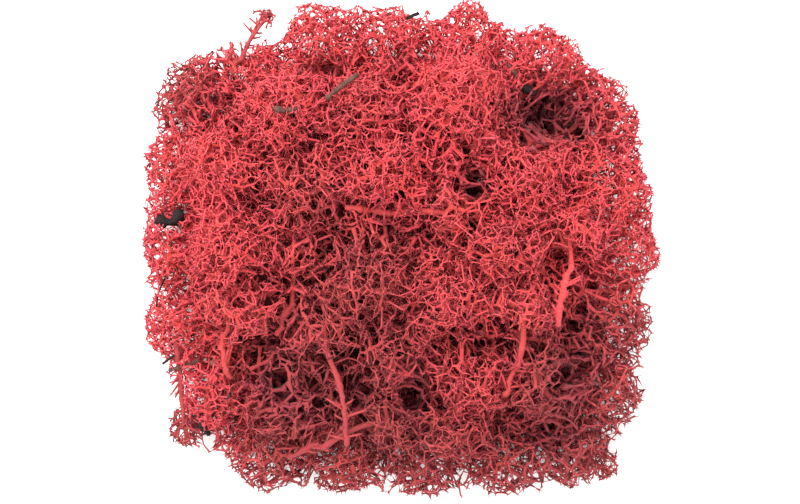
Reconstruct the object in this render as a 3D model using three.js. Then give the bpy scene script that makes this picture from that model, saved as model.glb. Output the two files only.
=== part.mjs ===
// A loose clump of dyed reindeer moss (Cladonia, a lichen) lying on a flat surface.
// Millimetres, +Z up, +X along the clump's long side. The origin is on the surface, under the clump's middle.
//
// Each tuft is one grown body: a foot, a bare stem, and a head of ever finer forks. A head is drawn first as
// the set of its tips, spread over a dome, and the branches are then found by halving that set again and
// again: the stem forks on its way to the middle of the tips, each arm carries one half of them, and so on
// down to a single tip. Bits of forest litter are caught between the tufts.

import * as THREE from "three";

// ---- Driving dimensions ----
const TIPS_PER_TUFT = 28;
const TIP_RADIUS = 0.3; // half the thickness of the finest branch
const THICKENING = 0.4; // a branch is (tips it carries) ^ this times as thick as a tip
const FORK_AT = 0.4; // where a branch forks, as a share of the way to the middle of its tips
const HEAD_SHELL = 0.26; // how deep the tips lie under the dome, as a share of its radius
const HEAD_REACH = 108; // how far round from its top a dome carries tips, in degrees
const LYING_REACH = 88; // the same for a tuft that lies on its side, whose stem shows
const WAVER = 0.09; // how far a fork strays sideways, as a share of the branch's length

const FOOT_LIFT = 5; // height of a standing tuft's foot
const RIM_FOOT = 0.62; // a rim tuft's foot, as a share of its head's distance from the middle
const TOP_FOOT = 0.86; // the same for a tuft that stands in the middle
const LEAN_NORTH = 8; // how far a tuft of the north half leans towards +Y
const LEAN_SOUTH = 15; // and one of the south half
const RESTING_FOOT_RADIUS = 2.6; // the flat cut feet that carry the clump
const RESTING_SHANK = 4; // height of the upright piece above such a foot

const BRANCH_GAP = 0.12; // least gap between two tufts, or a tuft and a piece of litter
const OWN_GAP = 0.08; // least gap between two branches of one tuft
const FLOOR_GAP = 0.5; // nothing but the resting feet comes closer to the surface
const KNIT_REACH = 8; // neighbours further apart than this aren't drawn together
const KNIT_ALWAYS = 1.2; // and nearer than this they always are
const FLAT_SIDE = 0.4; // how far a branch's flat sides lie under its round, as a share of its radius
const BROKEN_END = 0.7; // how far a broken end stands out, as a share of its radius
const SETTLING_ROUNDS = 70;

// ---- The tufts: where the middle of each head is, and the radius of its dome ----
// Rim tufts lean out all round and make the ragged edge.
const RIM = {
  rim_northwest: { head: [-64, 48, 13], dome: 13.5 },
  rim_north_west: { head: [-44, 55, 17], dome: 12 },
  rim_north_1: { head: [-25, 62, 17], dome: 13.5 },
  rim_north_2: { head: [-3, 62, 18], dome: 13 },
  rim_north_3: { head: [20, 62, 18], dome: 13.5 },
  rim_northeast: { head: [43, 56, 19], dome: 14 },
  rim_east_high: { head: [61, 43, 16], dome: 14 },
  rim_east: { head: [68, 1, 15], dome: 11.5 },
  rim_east_low: { head: [64, -21, 17], dome: 13.5 },
  rim_southeast: { head: [63, -43, 14], dome: 13 },
  rim_south_5: { head: [52, -60, 13], dome: 12.5 },
  rim_south_4: { head: [31, -63, 13], dome: 12.5 },
  rim_south_3: { head: [7, -64, 13], dome: 12 },
  rim_south_2: { head: [-17, -64, 12], dome: 12 },
  rim_south_1: { head: [-41, -61, 12], dome: 12 },
  rim_southwest: { head: [-55, -44, 14], dome: 12.5 },
  rim_west_low: { head: [-66, -22, 13], dome: 12.5 },
  rim_west: { head: [-67, 1, 14], dome: 12.5 },
  rim_west_high: { head: [-66, 25, 14], dome: 12.5 },
};

// The tufts of the cushion's top, from the north row to the south row. One with a foot of its own lies on its
// side, and its bare stem shows from above.
const TOP = {
  dome_northwest: { head: [-34, 41, 31], dome: 15 },
  dome_north: { head: [-10, 41, 33], dome: 13.5 },
  crown: { head: [18, 43, 39], dome: 14.5 },
  hollow: { head: [44, 38, 11], dome: 11 },
  dome_west_high: { head: [-51, 25, 30], dome: 14 },
  middle_west: { head: [-28, 20, 32], dome: 13 },
  middle: { head: [-5, 24, 38], dome: 13.5 },
  dome_east_high: { head: [37, 24, 36], dome: 13 },
  shoulder_east: { head: [60, 20, 25], dome: 13.5 },
  dome_west: { head: [-51, 1, 30], dome: 14 },
  sunken_west: { head: [-31, -3, 26], dome: 12.5, foot: [-37, -25, 27] },
  lying_fan: { head: [13, 14, 38], dome: 12, foot: [-16, 13, 37] },
  middle_east: { head: [31, 2, 34], dome: 13 },
  shoulder_east_low: { head: [51, 3, 30], dome: 13, foot: [47, -22, 37], by: [47.5, -12, 37] },
  middle_south: { head: [-9, -7, 33], dome: 13 },
  middle_southeast: { head: [14, -13, 35], dome: 13.5 },
  dome_southwest: { head: [-49, -20, 29], dome: 13, foot: [-51, -38, 24], by: [-54, -30, 29] },
  dome_southeast: { head: [35, -19, 33], dome: 12.5, foot: [31, -43, 31] },
  lower_west: { head: [-22, -27, 28], dome: 13, foot: [-16, -58, 27], by: [-17, -43, 32] },
  lower_middle: { head: [0, -32, 29], dome: 12.5 },
  lower_east: { head: [22, -39, 26], dome: 12.5 },
  shoulder_southeast: { head: [45, -39, 28], dome: 13.5 },
  foothill_west: { head: [-35, -45, 23], dome: 13 },
  foothill_middle: { head: [-5, -52, 22], dome: 12.5, foot: [-34, -62, 22] },
  foothill_east: { head: [15, -54, 22], dome: 12.5 },
};

// Loose sprays, which lie along the clump's edge, and the flattened tufts that it rests on.
const SPRAYS = {
  spray_northwest: { head: [-41, 68.5, 24], dome: 4.5, foot: [-51, 54, 22], tips: 8 },
  spray_west: { head: [-66, -53, 9], dome: 7, foot: [-67, -26, 19], by: [-67, -43, 15], tips: 12 },
  spray_southeast: { head: [63, -66, 8], dome: 5, foot: [51, -60, 9], tips: 10 },
};
const BASES = {
  base_west: { head: [-13, 8, 9], dome: 15, foot: [-34, 19, 0], squash: 0.5 },
  base_east: { head: [15, 6, 9], dome: 15, foot: [38, 4, 0], squash: 0.5 },
  base_south: { head: [-2, -19, 9], dome: 14, foot: [-6, -41, 0], squash: 0.5 },
};

// ---- The litter: the line each piece follows, its half thickness, how flat it is, and its bark ----
const LITTER = {
  twig_grey: { line: [[-21.5, 45, 41], [-17, 48.5, 42], [-13, 51.5, 41.5]], radius: 0.9, bark: "twig" },
  twig_broken: { line: [[-36, 41.5, 44], [-33, 41, 44.3], [-30.5, 41.5, 44]], radius: 1.1, bark: "twig" },
  twig_west: { line: [[-70, -36, 19], [-65, -34.5, 19.2], [-61, -33, 19.8]], radius: 0.6, bark: "twig" },
  twig_north: { line: [[2, 70, 25], [5.5, 71.5, 26]], radius: 0.6, bark: "dark" },
  twig_hollow: { line: [[32, 56, 27.5], [35.5, 52, 27]], radius: 0.6, bark: "twig" },
  needle_west: { line: [[-71, -8, 21.5], [-73, -12, 20.5], [-74, -17, 18.5]], radius: 0.35, bark: "dark" },
  needle_southwest: { line: [[-72, -34, 18.5], [-68.5, -31.5, 19.5]], radius: 0.5, bark: "dark" },
  bark_hollow: { line: [[34, 50, 25], [37, 49.5, 25], [40, 48, 24]], radius: 1.3, flat: 0.7, bark: "dark" },
  bark_west: { line: [[-73, 9, 20], [-69, 8.5, 21], [-66, 12, 21]], radius: 1.5, flat: 0.8, bark: "dark" },
  bark_southwest: {
    line: [[-61, -50, 18], [-60, -53, 18], [-59, -55, 16]], radius: 1.3, flat: 0.8, bark: "dark",
  },
};

// ---- Colours ----
const CORAL = new THREE.MeshStandardMaterial({ color: 0xdc4850, roughness: 0.8, metalness: 0 });
const OLD_CORAL = new THREE.MeshStandardMaterial({ color: 0x9c3a3c, roughness: 0.85, metalness: 0 });
const TWIG_BARK = new THREE.MeshStandardMaterial({ color: 0x6d5040, roughness: 0.9, metalness: 0 });
const DARK_BARK = new THREE.MeshStandardMaterial({ color: 0x2b2222, roughness: 0.9, metalness: 0 });
const BARKS = { twig: TWIG_BARK, dark: DARK_BARK };

const point = (xyz) => new THREE.Vector3(...xyz);

// Mulberry32: the same numbers from 0 to 1 for the same seed.
function seededRandom(seed) {
  let state = seed | 0;
  return () => {
    state = (state + 0x6d2b79f5) | 0;
    let mixed = Math.imul(state ^ (state >>> 15), 1 | state);
    mixed = (mixed + Math.imul(mixed ^ (mixed >>> 7), 61 | mixed)) ^ mixed;
    return ((mixed ^ (mixed >>> 14)) >>> 0) / 4294967296;
  };
}

function randomDirection(random) {
  const height = 2 * random() - 1;
  const turn = 2 * Math.PI * random();
  const flat = Math.sqrt(1 - height * height);
  return new THREE.Vector3(flat * Math.cos(turn), flat * Math.sin(turn), height);
}

// Two unit vectors square to the given one and to each other.
function sideways(axis) {
  const helper = Math.abs(axis.z) < 0.9 ? new THREE.Vector3(0, 0, 1) : new THREE.Vector3(1, 0, 0);
  const u = helper.cross(axis).normalize();
  return [u, axis.clone().cross(u)];
}

// ---- Where a tuft's foot and tips are ----

// A rim tuft is rooted further in than its head, and a top tuft leans towards +Y.
function footOf(head, onRim) {
  if (onRim) return new THREE.Vector3(head.x * RIM_FOOT, head.y * RIM_FOOT, FOOT_LIFT);
  const lean = head.y > -5 ? LEAN_NORTH : LEAN_SOUTH;
  return new THREE.Vector3(head.x * TOP_FOOT, head.y * TOP_FOOT - lean, FOOT_LIFT);
}

// Tips on a Fibonacci spiral over the dome, whose top faces away from the foot, each a little way under it.
function tipsOf(tuft, foot, random) {
  const reach = THREE.MathUtils.degToRad(tuft.foot?.[2] > 0 ? LYING_REACH : HEAD_REACH);
  const head = point(tuft.head);
  const axis = head.clone().sub(foot).normalize();
  const [u, v] = sideways(axis);
  const count = tuft.tips ?? TIPS_PER_TUFT;
  const goldenTurn = Math.PI * (3 - Math.sqrt(5));
  const firstTurn = 2 * Math.PI * random();
  return Array.from({ length: count }, (_, i) => {
    const down = ((i + 0.5) / count) * (1 - Math.cos(reach));
    const out = Math.sqrt(1 - (1 - down) ** 2);
    const turn = firstTurn + i * goldenTurn;
    const depth = tuft.dome * (1 - HEAD_SHELL * random());
    const tip = axis.clone().multiplyScalar(1 - down);
    tip.addScaledVector(u, out * Math.cos(turn)).addScaledVector(v, out * Math.sin(turn));
    tip.multiplyScalar(depth);
    tip.z *= tuft.squash ?? 1;
    return tip.add(head);
  });
}

// ---- Growing ----

const branchRadius = (tipCount) => TIP_RADIUS * tipCount ** THICKENING;

function middleOf(points) {
  return points.reduce((sum, p) => sum.add(p), new THREE.Vector3()).divideScalar(points.length);
}

// The tips in two equal halves, split across the direction in which they spread furthest.
function halves(tips, along) {
  const middle = middleOf(tips);
  const offsets = tips.map((tip) => tip.clone().sub(middle).projectOnPlane(along));
  const widest = offsets.reduce((a, b) => (b.lengthSq() > a.lengthSq() ? b : a));
  const order = tips.map((tip, i) => [offsets[i].dot(widest), tip]).sort((a, b) => a[0] - b[0]);
  const sorted = order.map(([, tip]) => tip);
  const cut = Math.floor(sorted.length / 2);
  return [sorted.slice(0, cut), sorted.slice(cut)];
}

// A joint is a point of the tuft where a branch ends: a bend, a fork or a tip.
function addJoint(from, at, radius, tipCount) {
  const joint = { at, radius, tipCount, from, arms: [] };
  if (from) from.arms.push(joint);
  return joint;
}

function growArm(from, tips, random) {
  const way = middleOf(tips).sub(from.at);
  if (tips.length === 1) {
    addJoint(from, tips[0], TIP_RADIUS, 1);
    return;
  }
  const at = from.at.clone().addScaledVector(way, FORK_AT);
  at.addScaledVector(randomDirection(random), WAVER * way.length());
  const fork = addJoint(from, at, branchRadius(tips.length), tips.length);
  for (const half of halves(tips, way)) growArm(fork, half, random);
}

function growTuft(name, tuft, onRim, seed) {
  const random = seededRandom(seed);
  const resting = tuft.foot !== undefined && tuft.foot[2] === 0;
  const footAt = tuft.foot ? point(tuft.foot) : footOf(point(tuft.head), onRim);
  const tips = tipsOf(tuft, footAt, random);
  const thick = branchRadius(tips.length);
  const foot = addJoint(null, footAt, resting ? RESTING_FOOT_RADIUS : thick, tips.length);
  foot.resting = resting;
  let last = foot;
  if (resting) {
    last = addJoint(foot, footAt.clone().setZ(RESTING_SHANK), thick, tips.length);
    last.held = true;
  }
  if (tuft.by) last = addJoint(last, point(tuft.by), thick, tips.length);
  growArm(last, tips, random);
  return { name, foot, joints: listJoints(foot) };
}

function listJoints(joint, found = []) {
  found.push(joint);
  joint.arms.forEach((arm) => listJoints(arm, found));
  return found;
}

// ---- Settling: branches that come too close are bent clear of each other ----

const directionOf = (stretch) => stretch.to.at.clone().sub(stretch.from.at);

// Shares (s, t) along two straight stretches at which they come closest.
function closestShares(p, q) {
  const { clamp } = THREE.MathUtils;
  const alongP = directionOf(p);
  const alongQ = directionOf(q);
  const between = p.from.at.clone().sub(q.from.at);
  const [pp, qq, pq] = [alongP.lengthSq(), alongQ.lengthSq(), alongP.dot(alongQ)];
  const [pb, qb] = [alongP.dot(between), alongQ.dot(between)];
  const square = pp * qq - pq * pq;
  const s = square > 1e-9 ? clamp((pq * qb - pb * qq) / square, 0, 1) : 0;
  const t = (pq * s + qb) / qq;
  if (t >= 0 && t <= 1) return [s, t];
  const end = clamp(t, 0, 1);
  return [clamp((pq * end - pb) / pp, 0, 1), end];
}

const pointOn = (stretch, share) => stretch.from.at.clone().lerp(stretch.to.at, share);
const radiusOn = (stretch, share) => THREE.MathUtils.lerp(stretch.from.radius, stretch.to.radius, share);

// How far apart the surfaces of two stretches are, and the way from the second to the first.
function clearance(p, q) {
  const [s, t] = closestShares(p, q);
  const away = pointOn(p, s).sub(pointOn(q, t));
  const distance = away.length();
  return { gap: distance - radiusOn(p, s) - radiusOn(q, t), away: away.divideScalar(distance || 1), s, t };
}

function stretchesOf(piece) {
  return piece.joints
    .filter((joint) => joint.from && !joint.lost)
    .map((joint) => ({ from: joint.from, to: joint, piece }));
}

const touchByGrowth = (p, q) => p.from === q.from || p.from === q.to || p.to === q.from;
const wantedGap = (p, q) => (p.piece === q.piece ? OWN_GAP : BRANCH_GAP);

// Every pair of stretches that isn't joined by growth and lies within reach of each other.
function closePairs(pieces, reach) {
  const stretches = pieces.flatMap(stretchesOf).map((stretch) => {
    const middle = pointOn(stretch, 0.5);
    const half = stretch.from.at.distanceTo(stretch.to.at) / 2;
    return { ...stretch, middle, ball: half + Math.max(stretch.from.radius, stretch.to.radius) };
  });
  const pairs = [];
  stretches.forEach((p, i) => {
    for (let j = i + 1; j < stretches.length; j++) {
      const q = stretches[j];
      const near = p.ball + q.ball + reach;
      if (p.middle.distanceToSquared(q.middle) > near * near) continue;
      if (p.piece.litter && q.piece === p.piece) continue;
      if (!touchByGrowth(p, q)) pairs.push([p, q]);
    }
  });
  return pairs;
}

function shove(stretch, share, way, amount) {
  for (const [joint, weight] of [[stretch.from, 1 - share], [stretch.to, share]]) {
    if (!joint.resting && !joint.held) joint.at.addScaledVector(way, amount * weight);
  }
}

function keepOffFloor(joint) {
  if (!joint.resting) joint.at.z = Math.max(joint.at.z, joint.radius + FLOOR_GAP);
}

// Two arms of one fork end at least their own thickness apart.
function spreadArms(joint) {
  if (joint.arms.length < 2) return;
  const [a, b] = joint.arms;
  const away = a.at.clone().sub(b.at);
  const missing = 1.15 * (a.radius + b.radius) + OWN_GAP - away.length();
  if (missing <= 0) return;
  away.normalize();
  a.at.addScaledVector(away, missing / 2);
  b.at.addScaledVector(away, -missing / 2);
}

// A bond is two branches of neighbouring pieces that are drawn together.
function settle(pieces, bonds = []) {
  let pairs = [];
  for (let round = 0; round < SETTLING_ROUNDS; round++) {
    if (round % 15 === 0) pairs = closePairs(pieces, 3);
    for (const [p, q] of pairs) {
      const { gap, away, s, t } = clearance(p, q);
      const missing = 1.1 * wantedGap(p, q) - gap;
      if (missing <= 0) continue;
      shove(p, s, away, 0.4 * missing);
      shove(q, t, away, -0.4 * missing);
    }
    for (const { p, q } of bonds) {
      const { gap, away, s, t } = clearance(p, q);
      const excess = Math.max(gap - 1.2 * BRANCH_GAP, 0);
      shove(p, s, away, -0.4 * excess);
      shove(q, t, away, 0.4 * excess);
    }
    for (const piece of pieces) {
      if (piece.litter) continue;
      piece.joints.forEach(spreadArms);
      piece.joints.forEach(keepOffFloor);
    }
  }
}

// ---- Pruning: what still touches is broken off, the smaller branch first ----

function loseArm(joint) {
  listJoints(joint).forEach((each) => (each.lost = true));
}

function prune(pieces) {
  const tooClose = closePairs(pieces, BRANCH_GAP)
    .map(([p, q]) => ({ p, q, gap: clearance(p, q).gap, wanted: wantedGap(p, q) }))
    .filter(({ gap, wanted }) => gap < 0.5 * wanted)
    .sort((a, b) => a.gap - b.gap);
  for (const { p, q } of tooClose) {
    if (p.to.lost || q.to.lost) continue;
    const smaller = q.piece.litter || p.to.tipCount < q.to.tipCount ? p : q;
    loseArm(smaller.to);
  }
}

// ---- Knitting: the clump hangs together ----

// The closest two branches of each pair of neighbours: of all pairs that nearly touch, and then of the next
// nearest, as many as it takes to link all pieces into one whole. A branch has flat sides, which lie inside
// its round, so between thick branches the gap is wider than between thin ones.
function bondsOf(pieces) {
  const closest = new Map();
  for (const [p, q] of closePairs(pieces, KNIT_REACH)) {
    if (p.piece === q.piece || (p.piece.litter && q.piece.litter)) continue;
    const key = `${p.piece.name} ${q.piece.name}`;
    const { gap: roundGap, s, t } = clearance(p, q);
    const gap = roundGap + FLAT_SIDE * (radiusOn(p, s) + radiusOn(q, t));
    if (!closest.has(key) || gap < closest.get(key).gap) closest.set(key, { gap, p, q });
  }
  const linkedTo = new Map();
  const endOf = (piece) => (linkedTo.has(piece) ? endOf(linkedTo.get(piece)) : piece);
  const byGap = [...closest.values()].sort((a, b) => a.gap - b.gap);
  return byGap.filter(({ gap, p, q }) => {
    const [a, b] = [endOf(p.piece), endOf(q.piece)];
    if (a !== b) linkedTo.set(a, b);
    return a !== b || gap < KNIT_ALWAYS;
  });
}

// ---- Skin: a closed surface round the joints ----
// A branch starts on a triangle and ends on a square. At a fork a saddle point stands over the square, and
// each half of the square makes a triangle with it, on which an arm starts. A tip is a point.

class Skin {
  positions = [];
  faces = [];

  add(at) {
    this.positions.push(at);
    return this.positions.length - 1;
  }

  // Closes a ring in a point.
  close(ring, at) {
    const end = this.add(at);
    ring.forEach((corner, i) => this.faces.push([corner, ring[(i + 1) % ring.length], end]));
  }

  ring(at, radius, u, v, sides, firstTurn) {
    return Array.from({ length: sides }, (_, i) => {
      const turn = firstTurn + (2 * Math.PI * i) / sides;
      const corner = at.clone().addScaledVector(u, radius * Math.cos(turn));
      return this.add(corner.addScaledVector(v, radius * Math.sin(turn)));
    });
  }

  // How far the corners would have to slide sideways if ring a went straight on to ring b.
  slide(a, b, way) {
    return a.reduce((sum, corner, i) => {
      const across = this.positions[b[i]].clone().sub(this.positions[corner]).projectOnPlane(way);
      return sum + across.lengthSq();
    }, 0);
  }

  turned(ring, steps) {
    return ring.map((_, i) => ring[(i + steps) % ring.length]);
  }

  // A triangle to a triangle: the end ring is taken in the order that twists least.
  tube(start, end, way) {
    const orders = [0, 1, 2].map((steps) => this.turned(end, steps));
    const best = orders.reduce((a, b) => (this.slide(start, b, way) < this.slide(start, a, way) ? b : a));
    start.forEach((corner, i) => {
      const next = (i + 1) % 3;
      this.faces.push([corner, start[next], best[next]], [corner, best[next], best[i]]);
    });
    return best;
  }

  // A triangle to a square: one corner of the triangle, the second, fans out to two corners of the square.
  splitTube(start, square, way) {
    let best = null;
    for (const a of [0, 1, 2].map((steps) => this.turned(start, steps))) {
      for (const b of [0, 1, 2, 3].map((steps) => this.turned(square, steps))) {
        const twist = this.slide([a[0], a[1], a[1], a[2]], b, way);
        if (!best || twist < best.twist) best = { a, b, twist };
      }
    }
    const { a, b } = best;
    this.faces.push([a[0], a[1], b[1]], [a[0], b[1], b[0]], [a[1], b[2], b[1]]);
    this.faces.push([a[1], a[2], b[3]], [a[1], b[3], b[2]], [a[2], a[0], b[0]], [a[2], b[0], b[3]]);
  }

  grow(start, joint) {
    const way = joint.at.clone().sub(joint.from.at).normalize();
    const arms = joint.arms;
    if (joint.lost) {
      this.faces.push(start);
    } else if (arms.length === 0) {
      this.close(start, joint.at);
    } else if (arms.length === 1) {
      const onward = arms[0].at.clone().sub(joint.at).normalize();
      const [u, v] = sideways(way.clone().add(onward).normalize());
      this.grow(this.tube(start, this.ring(joint.at, joint.radius, u, v, 3, 0), way), arms[0]);
    } else {
      this.fork(start, joint, way);
    }
  }

  fork(start, joint, way) {
    const [first, second] = joint.arms;
    const u = first.at.clone().sub(second.at).projectOnPlane(way).normalize();
    const v = way.clone().cross(u);
    const square = this.ring(joint.at, joint.radius, u, v, 4, -Math.PI / 4);
    const saddle = this.add(joint.at.clone().addScaledVector(way, 0.6 * joint.radius));
    this.splitTube(start, square, way);
    this.faces.push([square[1], square[2], saddle], [square[3], square[0], saddle]);
    this.grow([square[0], square[1], saddle], first);
    this.grow([square[2], square[3], saddle], second);
  }

  geometry() {
    const corners = this.positions.flatMap((at) => at.toArray());
    return new THREE.BufferGeometry()
      .setAttribute("position", new THREE.Float32BufferAttribute(corners, 3))
      .setIndex(this.faces.flat());
  }
}

function tuftGeometry(foot) {
  const skin = new Skin();
  const up = foot.resting ? new THREE.Vector3(0, 0, 1) : foot.arms[0].at.clone().sub(foot.at).normalize();
  const [u, v] = sideways(up);
  const sole = skin.ring(foot.at, foot.radius, u, v, 3, 0);
  if (foot.resting) skin.faces.push([...sole].reverse());
  else skin.close([...sole].reverse(), foot.at.clone().addScaledVector(up, -BROKEN_END * foot.radius));
  skin.grow(sole, foot.arms[0]);
  return skin.geometry();
}

// ---- Litter: a crooked rod or flake along its line, uneven all round and broken off at its ends ----

const ROD_SIDES = 6;

function litterPiece(name, { line, radius, flat = 1, bark }) {
  const joints = [];
  for (const xyz of line) {
    joints.push({ at: point(xyz), radius, tipCount: Infinity, from: joints.at(-1), arms: [], held: true });
  }
  return { name, litter: BARKS[bark], joints, flat };
}

function rodGeometry(joints, flat, seed) {
  const random = seededRandom(seed);
  const skin = new Skin();
  const ways = joints.map((_, i) => {
    const before = joints[Math.max(i - 1, 0)].at;
    const after = joints[Math.min(i + 1, joints.length - 1)].at;
    return after.clone().sub(before).normalize();
  });
  const rings = joints.map((joint, i) => {
    const [u, v] = sideways(ways[i]);
    const ring = skin.ring(joint.at, joint.radius, u, v.multiplyScalar(flat), ROD_SIDES, 0);
    for (const corner of ring) skin.positions[corner].lerp(joint.at, 0.2 * random());
    return ring;
  });
  rings.slice(1).forEach((b, i) => {
    const a = rings[i];
    for (let k = 0; k < ROD_SIDES; k++) {
      const next = (k + 1) % ROD_SIDES;
      skin.faces.push([a[k], a[next], b[next]], [a[k], b[next], b[k]]);
    }
  });
  const beyond = (i, share) => {
    const { at, radius } = joints.at(i);
    return at.clone().addScaledVector(ways.at(i), share * radius);
  };
  skin.close([...rings[0]].reverse(), beyond(0, -BROKEN_END));
  skin.close(rings.at(-1), beyond(-1, BROKEN_END));
  return skin.geometry();
}

// ---- The clump ----

const plan = [
  ...Object.entries(RIM).map((entry) => [...entry, true]),
  ...Object.entries(TOP).map((entry) => [...entry, false]),
  ...Object.entries(SPRAYS).map((entry) => [...entry, false]),
  ...Object.entries(BASES).map((entry) => [...entry, false]),
];
const tufts = plan.map(([name, tuft, onRim], i) => growTuft(name, tuft, onRim, i + 1));
const litter = Object.entries(LITTER).map(([name, bit]) => litterPiece(name, bit));
const pieces = [...tufts, ...litter];

settle(pieces);
settle(pieces, bondsOf(pieces));
prune(pieces);

const clump = new THREE.Group();
for (const { name, foot } of tufts) {
  const colour = name.startsWith("base") ? OLD_CORAL : CORAL;
  const mesh = new THREE.Mesh(tuftGeometry(foot), colour);
  mesh.name = name;
  clump.add(mesh);
}
litter.forEach(({ name, joints, flat, litter: bark }, i) => {
  const mesh = new THREE.Mesh(rodGeometry(joints, flat, 1000 + i), bark);
  mesh.name = name;
  clump.add(mesh);
});

// The middle of the whole clump goes over the origin.
const box = new THREE.Box3().setFromObject(clump);
clump.position.set(-(box.min.x + box.max.x) / 2, -(box.min.y + box.max.y) / 2, 0);

export default clump;
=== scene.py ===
# %% [markdown]
# # A clump of dyed reindeer moss
#
# Reindeer moss is a lichen. It has no leaves: a tuft is one hollow stalk that forks, and whose arms fork
# again, ten times or so, until its head is a dome of tiny stars. A florist dyes it, here coral red, and
# tears off a clump of some fifty tufts that hang together by their tangled arms.
#
# The frame holds the clump as plain solids: each tuft with its foot, its main arms and a few dozen tips.
# This script keeps every foot and every tip where the frame has it, and grows the fine branches that the
# solids leave out. Hair would be the quick way to a fleece, but hair can't fork, and an exported model
# drops it. So here every branch is mesh, worked out with numpy.

import math

import bpy
import mathutils
import numpy as np
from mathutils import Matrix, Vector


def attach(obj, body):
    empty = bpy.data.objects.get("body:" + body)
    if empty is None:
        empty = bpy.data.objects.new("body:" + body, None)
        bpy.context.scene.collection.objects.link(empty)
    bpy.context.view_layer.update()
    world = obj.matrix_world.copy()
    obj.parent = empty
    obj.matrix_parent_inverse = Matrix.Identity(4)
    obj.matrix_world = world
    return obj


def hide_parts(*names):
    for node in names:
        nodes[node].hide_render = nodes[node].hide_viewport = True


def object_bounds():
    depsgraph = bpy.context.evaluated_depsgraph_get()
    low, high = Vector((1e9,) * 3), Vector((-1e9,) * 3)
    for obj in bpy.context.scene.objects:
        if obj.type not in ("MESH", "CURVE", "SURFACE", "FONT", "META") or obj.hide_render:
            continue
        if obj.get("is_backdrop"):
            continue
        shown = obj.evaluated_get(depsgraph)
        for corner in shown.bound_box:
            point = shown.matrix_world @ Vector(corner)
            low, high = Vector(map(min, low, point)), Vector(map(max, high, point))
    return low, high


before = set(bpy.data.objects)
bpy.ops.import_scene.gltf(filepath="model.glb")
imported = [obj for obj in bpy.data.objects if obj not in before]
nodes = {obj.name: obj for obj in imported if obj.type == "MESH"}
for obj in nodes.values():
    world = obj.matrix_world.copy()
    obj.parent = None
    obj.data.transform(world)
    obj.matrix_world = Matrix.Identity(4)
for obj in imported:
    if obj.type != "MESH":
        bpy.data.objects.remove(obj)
solid_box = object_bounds()

MM = 0.001
BASES = sorted(name for name in nodes if name.startswith("base_"))
SPRAYS = sorted(name for name in nodes if name.startswith("spray_"))
LITTER = sorted(name for name in nodes if name.split("_")[0] in ("twig", "needle", "bark"))
HEADS = sorted(set(nodes) - set(BASES) - set(SPRAYS) - set(LITTER))
TUFTS = HEADS + SPRAYS + BASES
print(f"{len(HEADS)} heads, {len(SPRAYS)} sprays, {len(BASES)} base tufts, {len(LITTER)} bits of litter")

# %% [markdown]
# ## Reading a tuft's foot, stem and tips
#
# A branch of a solid is a three-sided spike, so its tip is a point where just three faces meet. The
# foot is the thickest such spike, or, on a tuft that stands on the floor, its flat sole. From there the
# bare stem goes up in rings of three corners, as far as the first fork, whose ring has more. All this
# could be typed in as numbers, but read from the mesh it stays right when a solid is changed.

# %% Foot, stem and tips
FLOOR_LEVEL = 0.01  # millimetres, and what is lower stands on the floor


def merged(node):
    """The node's corners in millimetres, each once, and its triangles as rows of three corner numbers."""
    mesh = node.data
    corners = np.empty(3 * len(mesh.vertices))
    mesh.vertices.foreach_get("co", corners)
    triangles = np.empty(len(mesh.loops), int)
    mesh.loops.foreach_get("vertex_index", triangles)
    points, number = np.unique(np.round(corners.reshape(-1, 3) / MM, 3), axis=0, return_inverse=True)
    return points, number.reshape(-1)[triangles].reshape(-1, 3)


def spikes(points, triangles):
    """The ends of all spikes, the three corners round each end, and which spike is the thickest."""
    ends = np.flatnonzero(np.bincount(triangles.ravel(), minlength=len(points)) == 3)
    around = np.array([np.setdiff1d(triangles[(triangles == end).any(axis=1)], end) for end in ends])
    return ends, around, np.ptp(points[around], axis=1).max(axis=1).argmax()


def foot_and_tips(node):
    """The middle of the sole or of the thickest spike's corners, and the ends of the other spikes."""
    points, triangles = merged(node)
    ends, around, thickest = spikes(points, triangles)
    sole = points[points[:, 2] < FLOOR_LEVEL]
    if len(sole):
        return sole.mean(axis=0), points[ends]
    return points[around[thickest]].mean(axis=0), points[np.delete(ends, thickest)]


def stem_line(node):
    """The middle of each ring of the bare stem, from the foot up, and last the middle of the first fork."""
    points, triangles = merged(node)
    ends, around, thickest = spikes(points, triangles)
    seen = np.zeros(len(points), bool)
    layer = np.flatnonzero(points[:, 2] < FLOOR_LEVEL)
    if not len(layer):
        layer = around[thickest]
        seen[ends[thickest]] = True
    line = []
    while len(layer) == 3 or not line:
        line.append(points[layer].mean(axis=0))
        seen[layer] = True
        nearby = np.unique(triangles[np.isin(triangles, layer).any(axis=1)])
        layer = nearby[~seen[nearby]]
    return np.array(line + [points[layer].mean(axis=0)])


skeletons = {name: foot_and_tips(nodes[name]) for name in TUFTS}
stems = {name: stem_line(nodes[name]) for name in TUFTS}
print(sum(len(tips) for foot, tips in skeletons.values()), "tips in all")
print("longest bare stem", max(stems, key=lambda name: np.linalg.norm(stems[name][-1] - stems[name][0])))

# %% [markdown]
# ## Directions and lines
#
# Four small helpers are used all through. Each takes whole arrays of vectors, so one call serves all
# branches of a tuft.

# %% Directions and lines
UP = np.array([0.0, 0.0, 1.0])
NEARLY_UPRIGHT = 0.9
ROUNDING = 0.12


def unit(vectors):
    """The vectors, each brought to length one."""
    return vectors / np.maximum(np.linalg.norm(vectors, axis=-1, keepdims=True), 1e-9)


def square_to(axis):
    """Two unit vectors square to each axis and to each other."""
    helper = np.where(np.abs(axis[..., 2:]) < NEARLY_UPRIGHT, UP, [1.0, 0.0, 0.0])
    u = unit(np.cross(helper, axis))
    return u, np.cross(axis, u)


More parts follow.
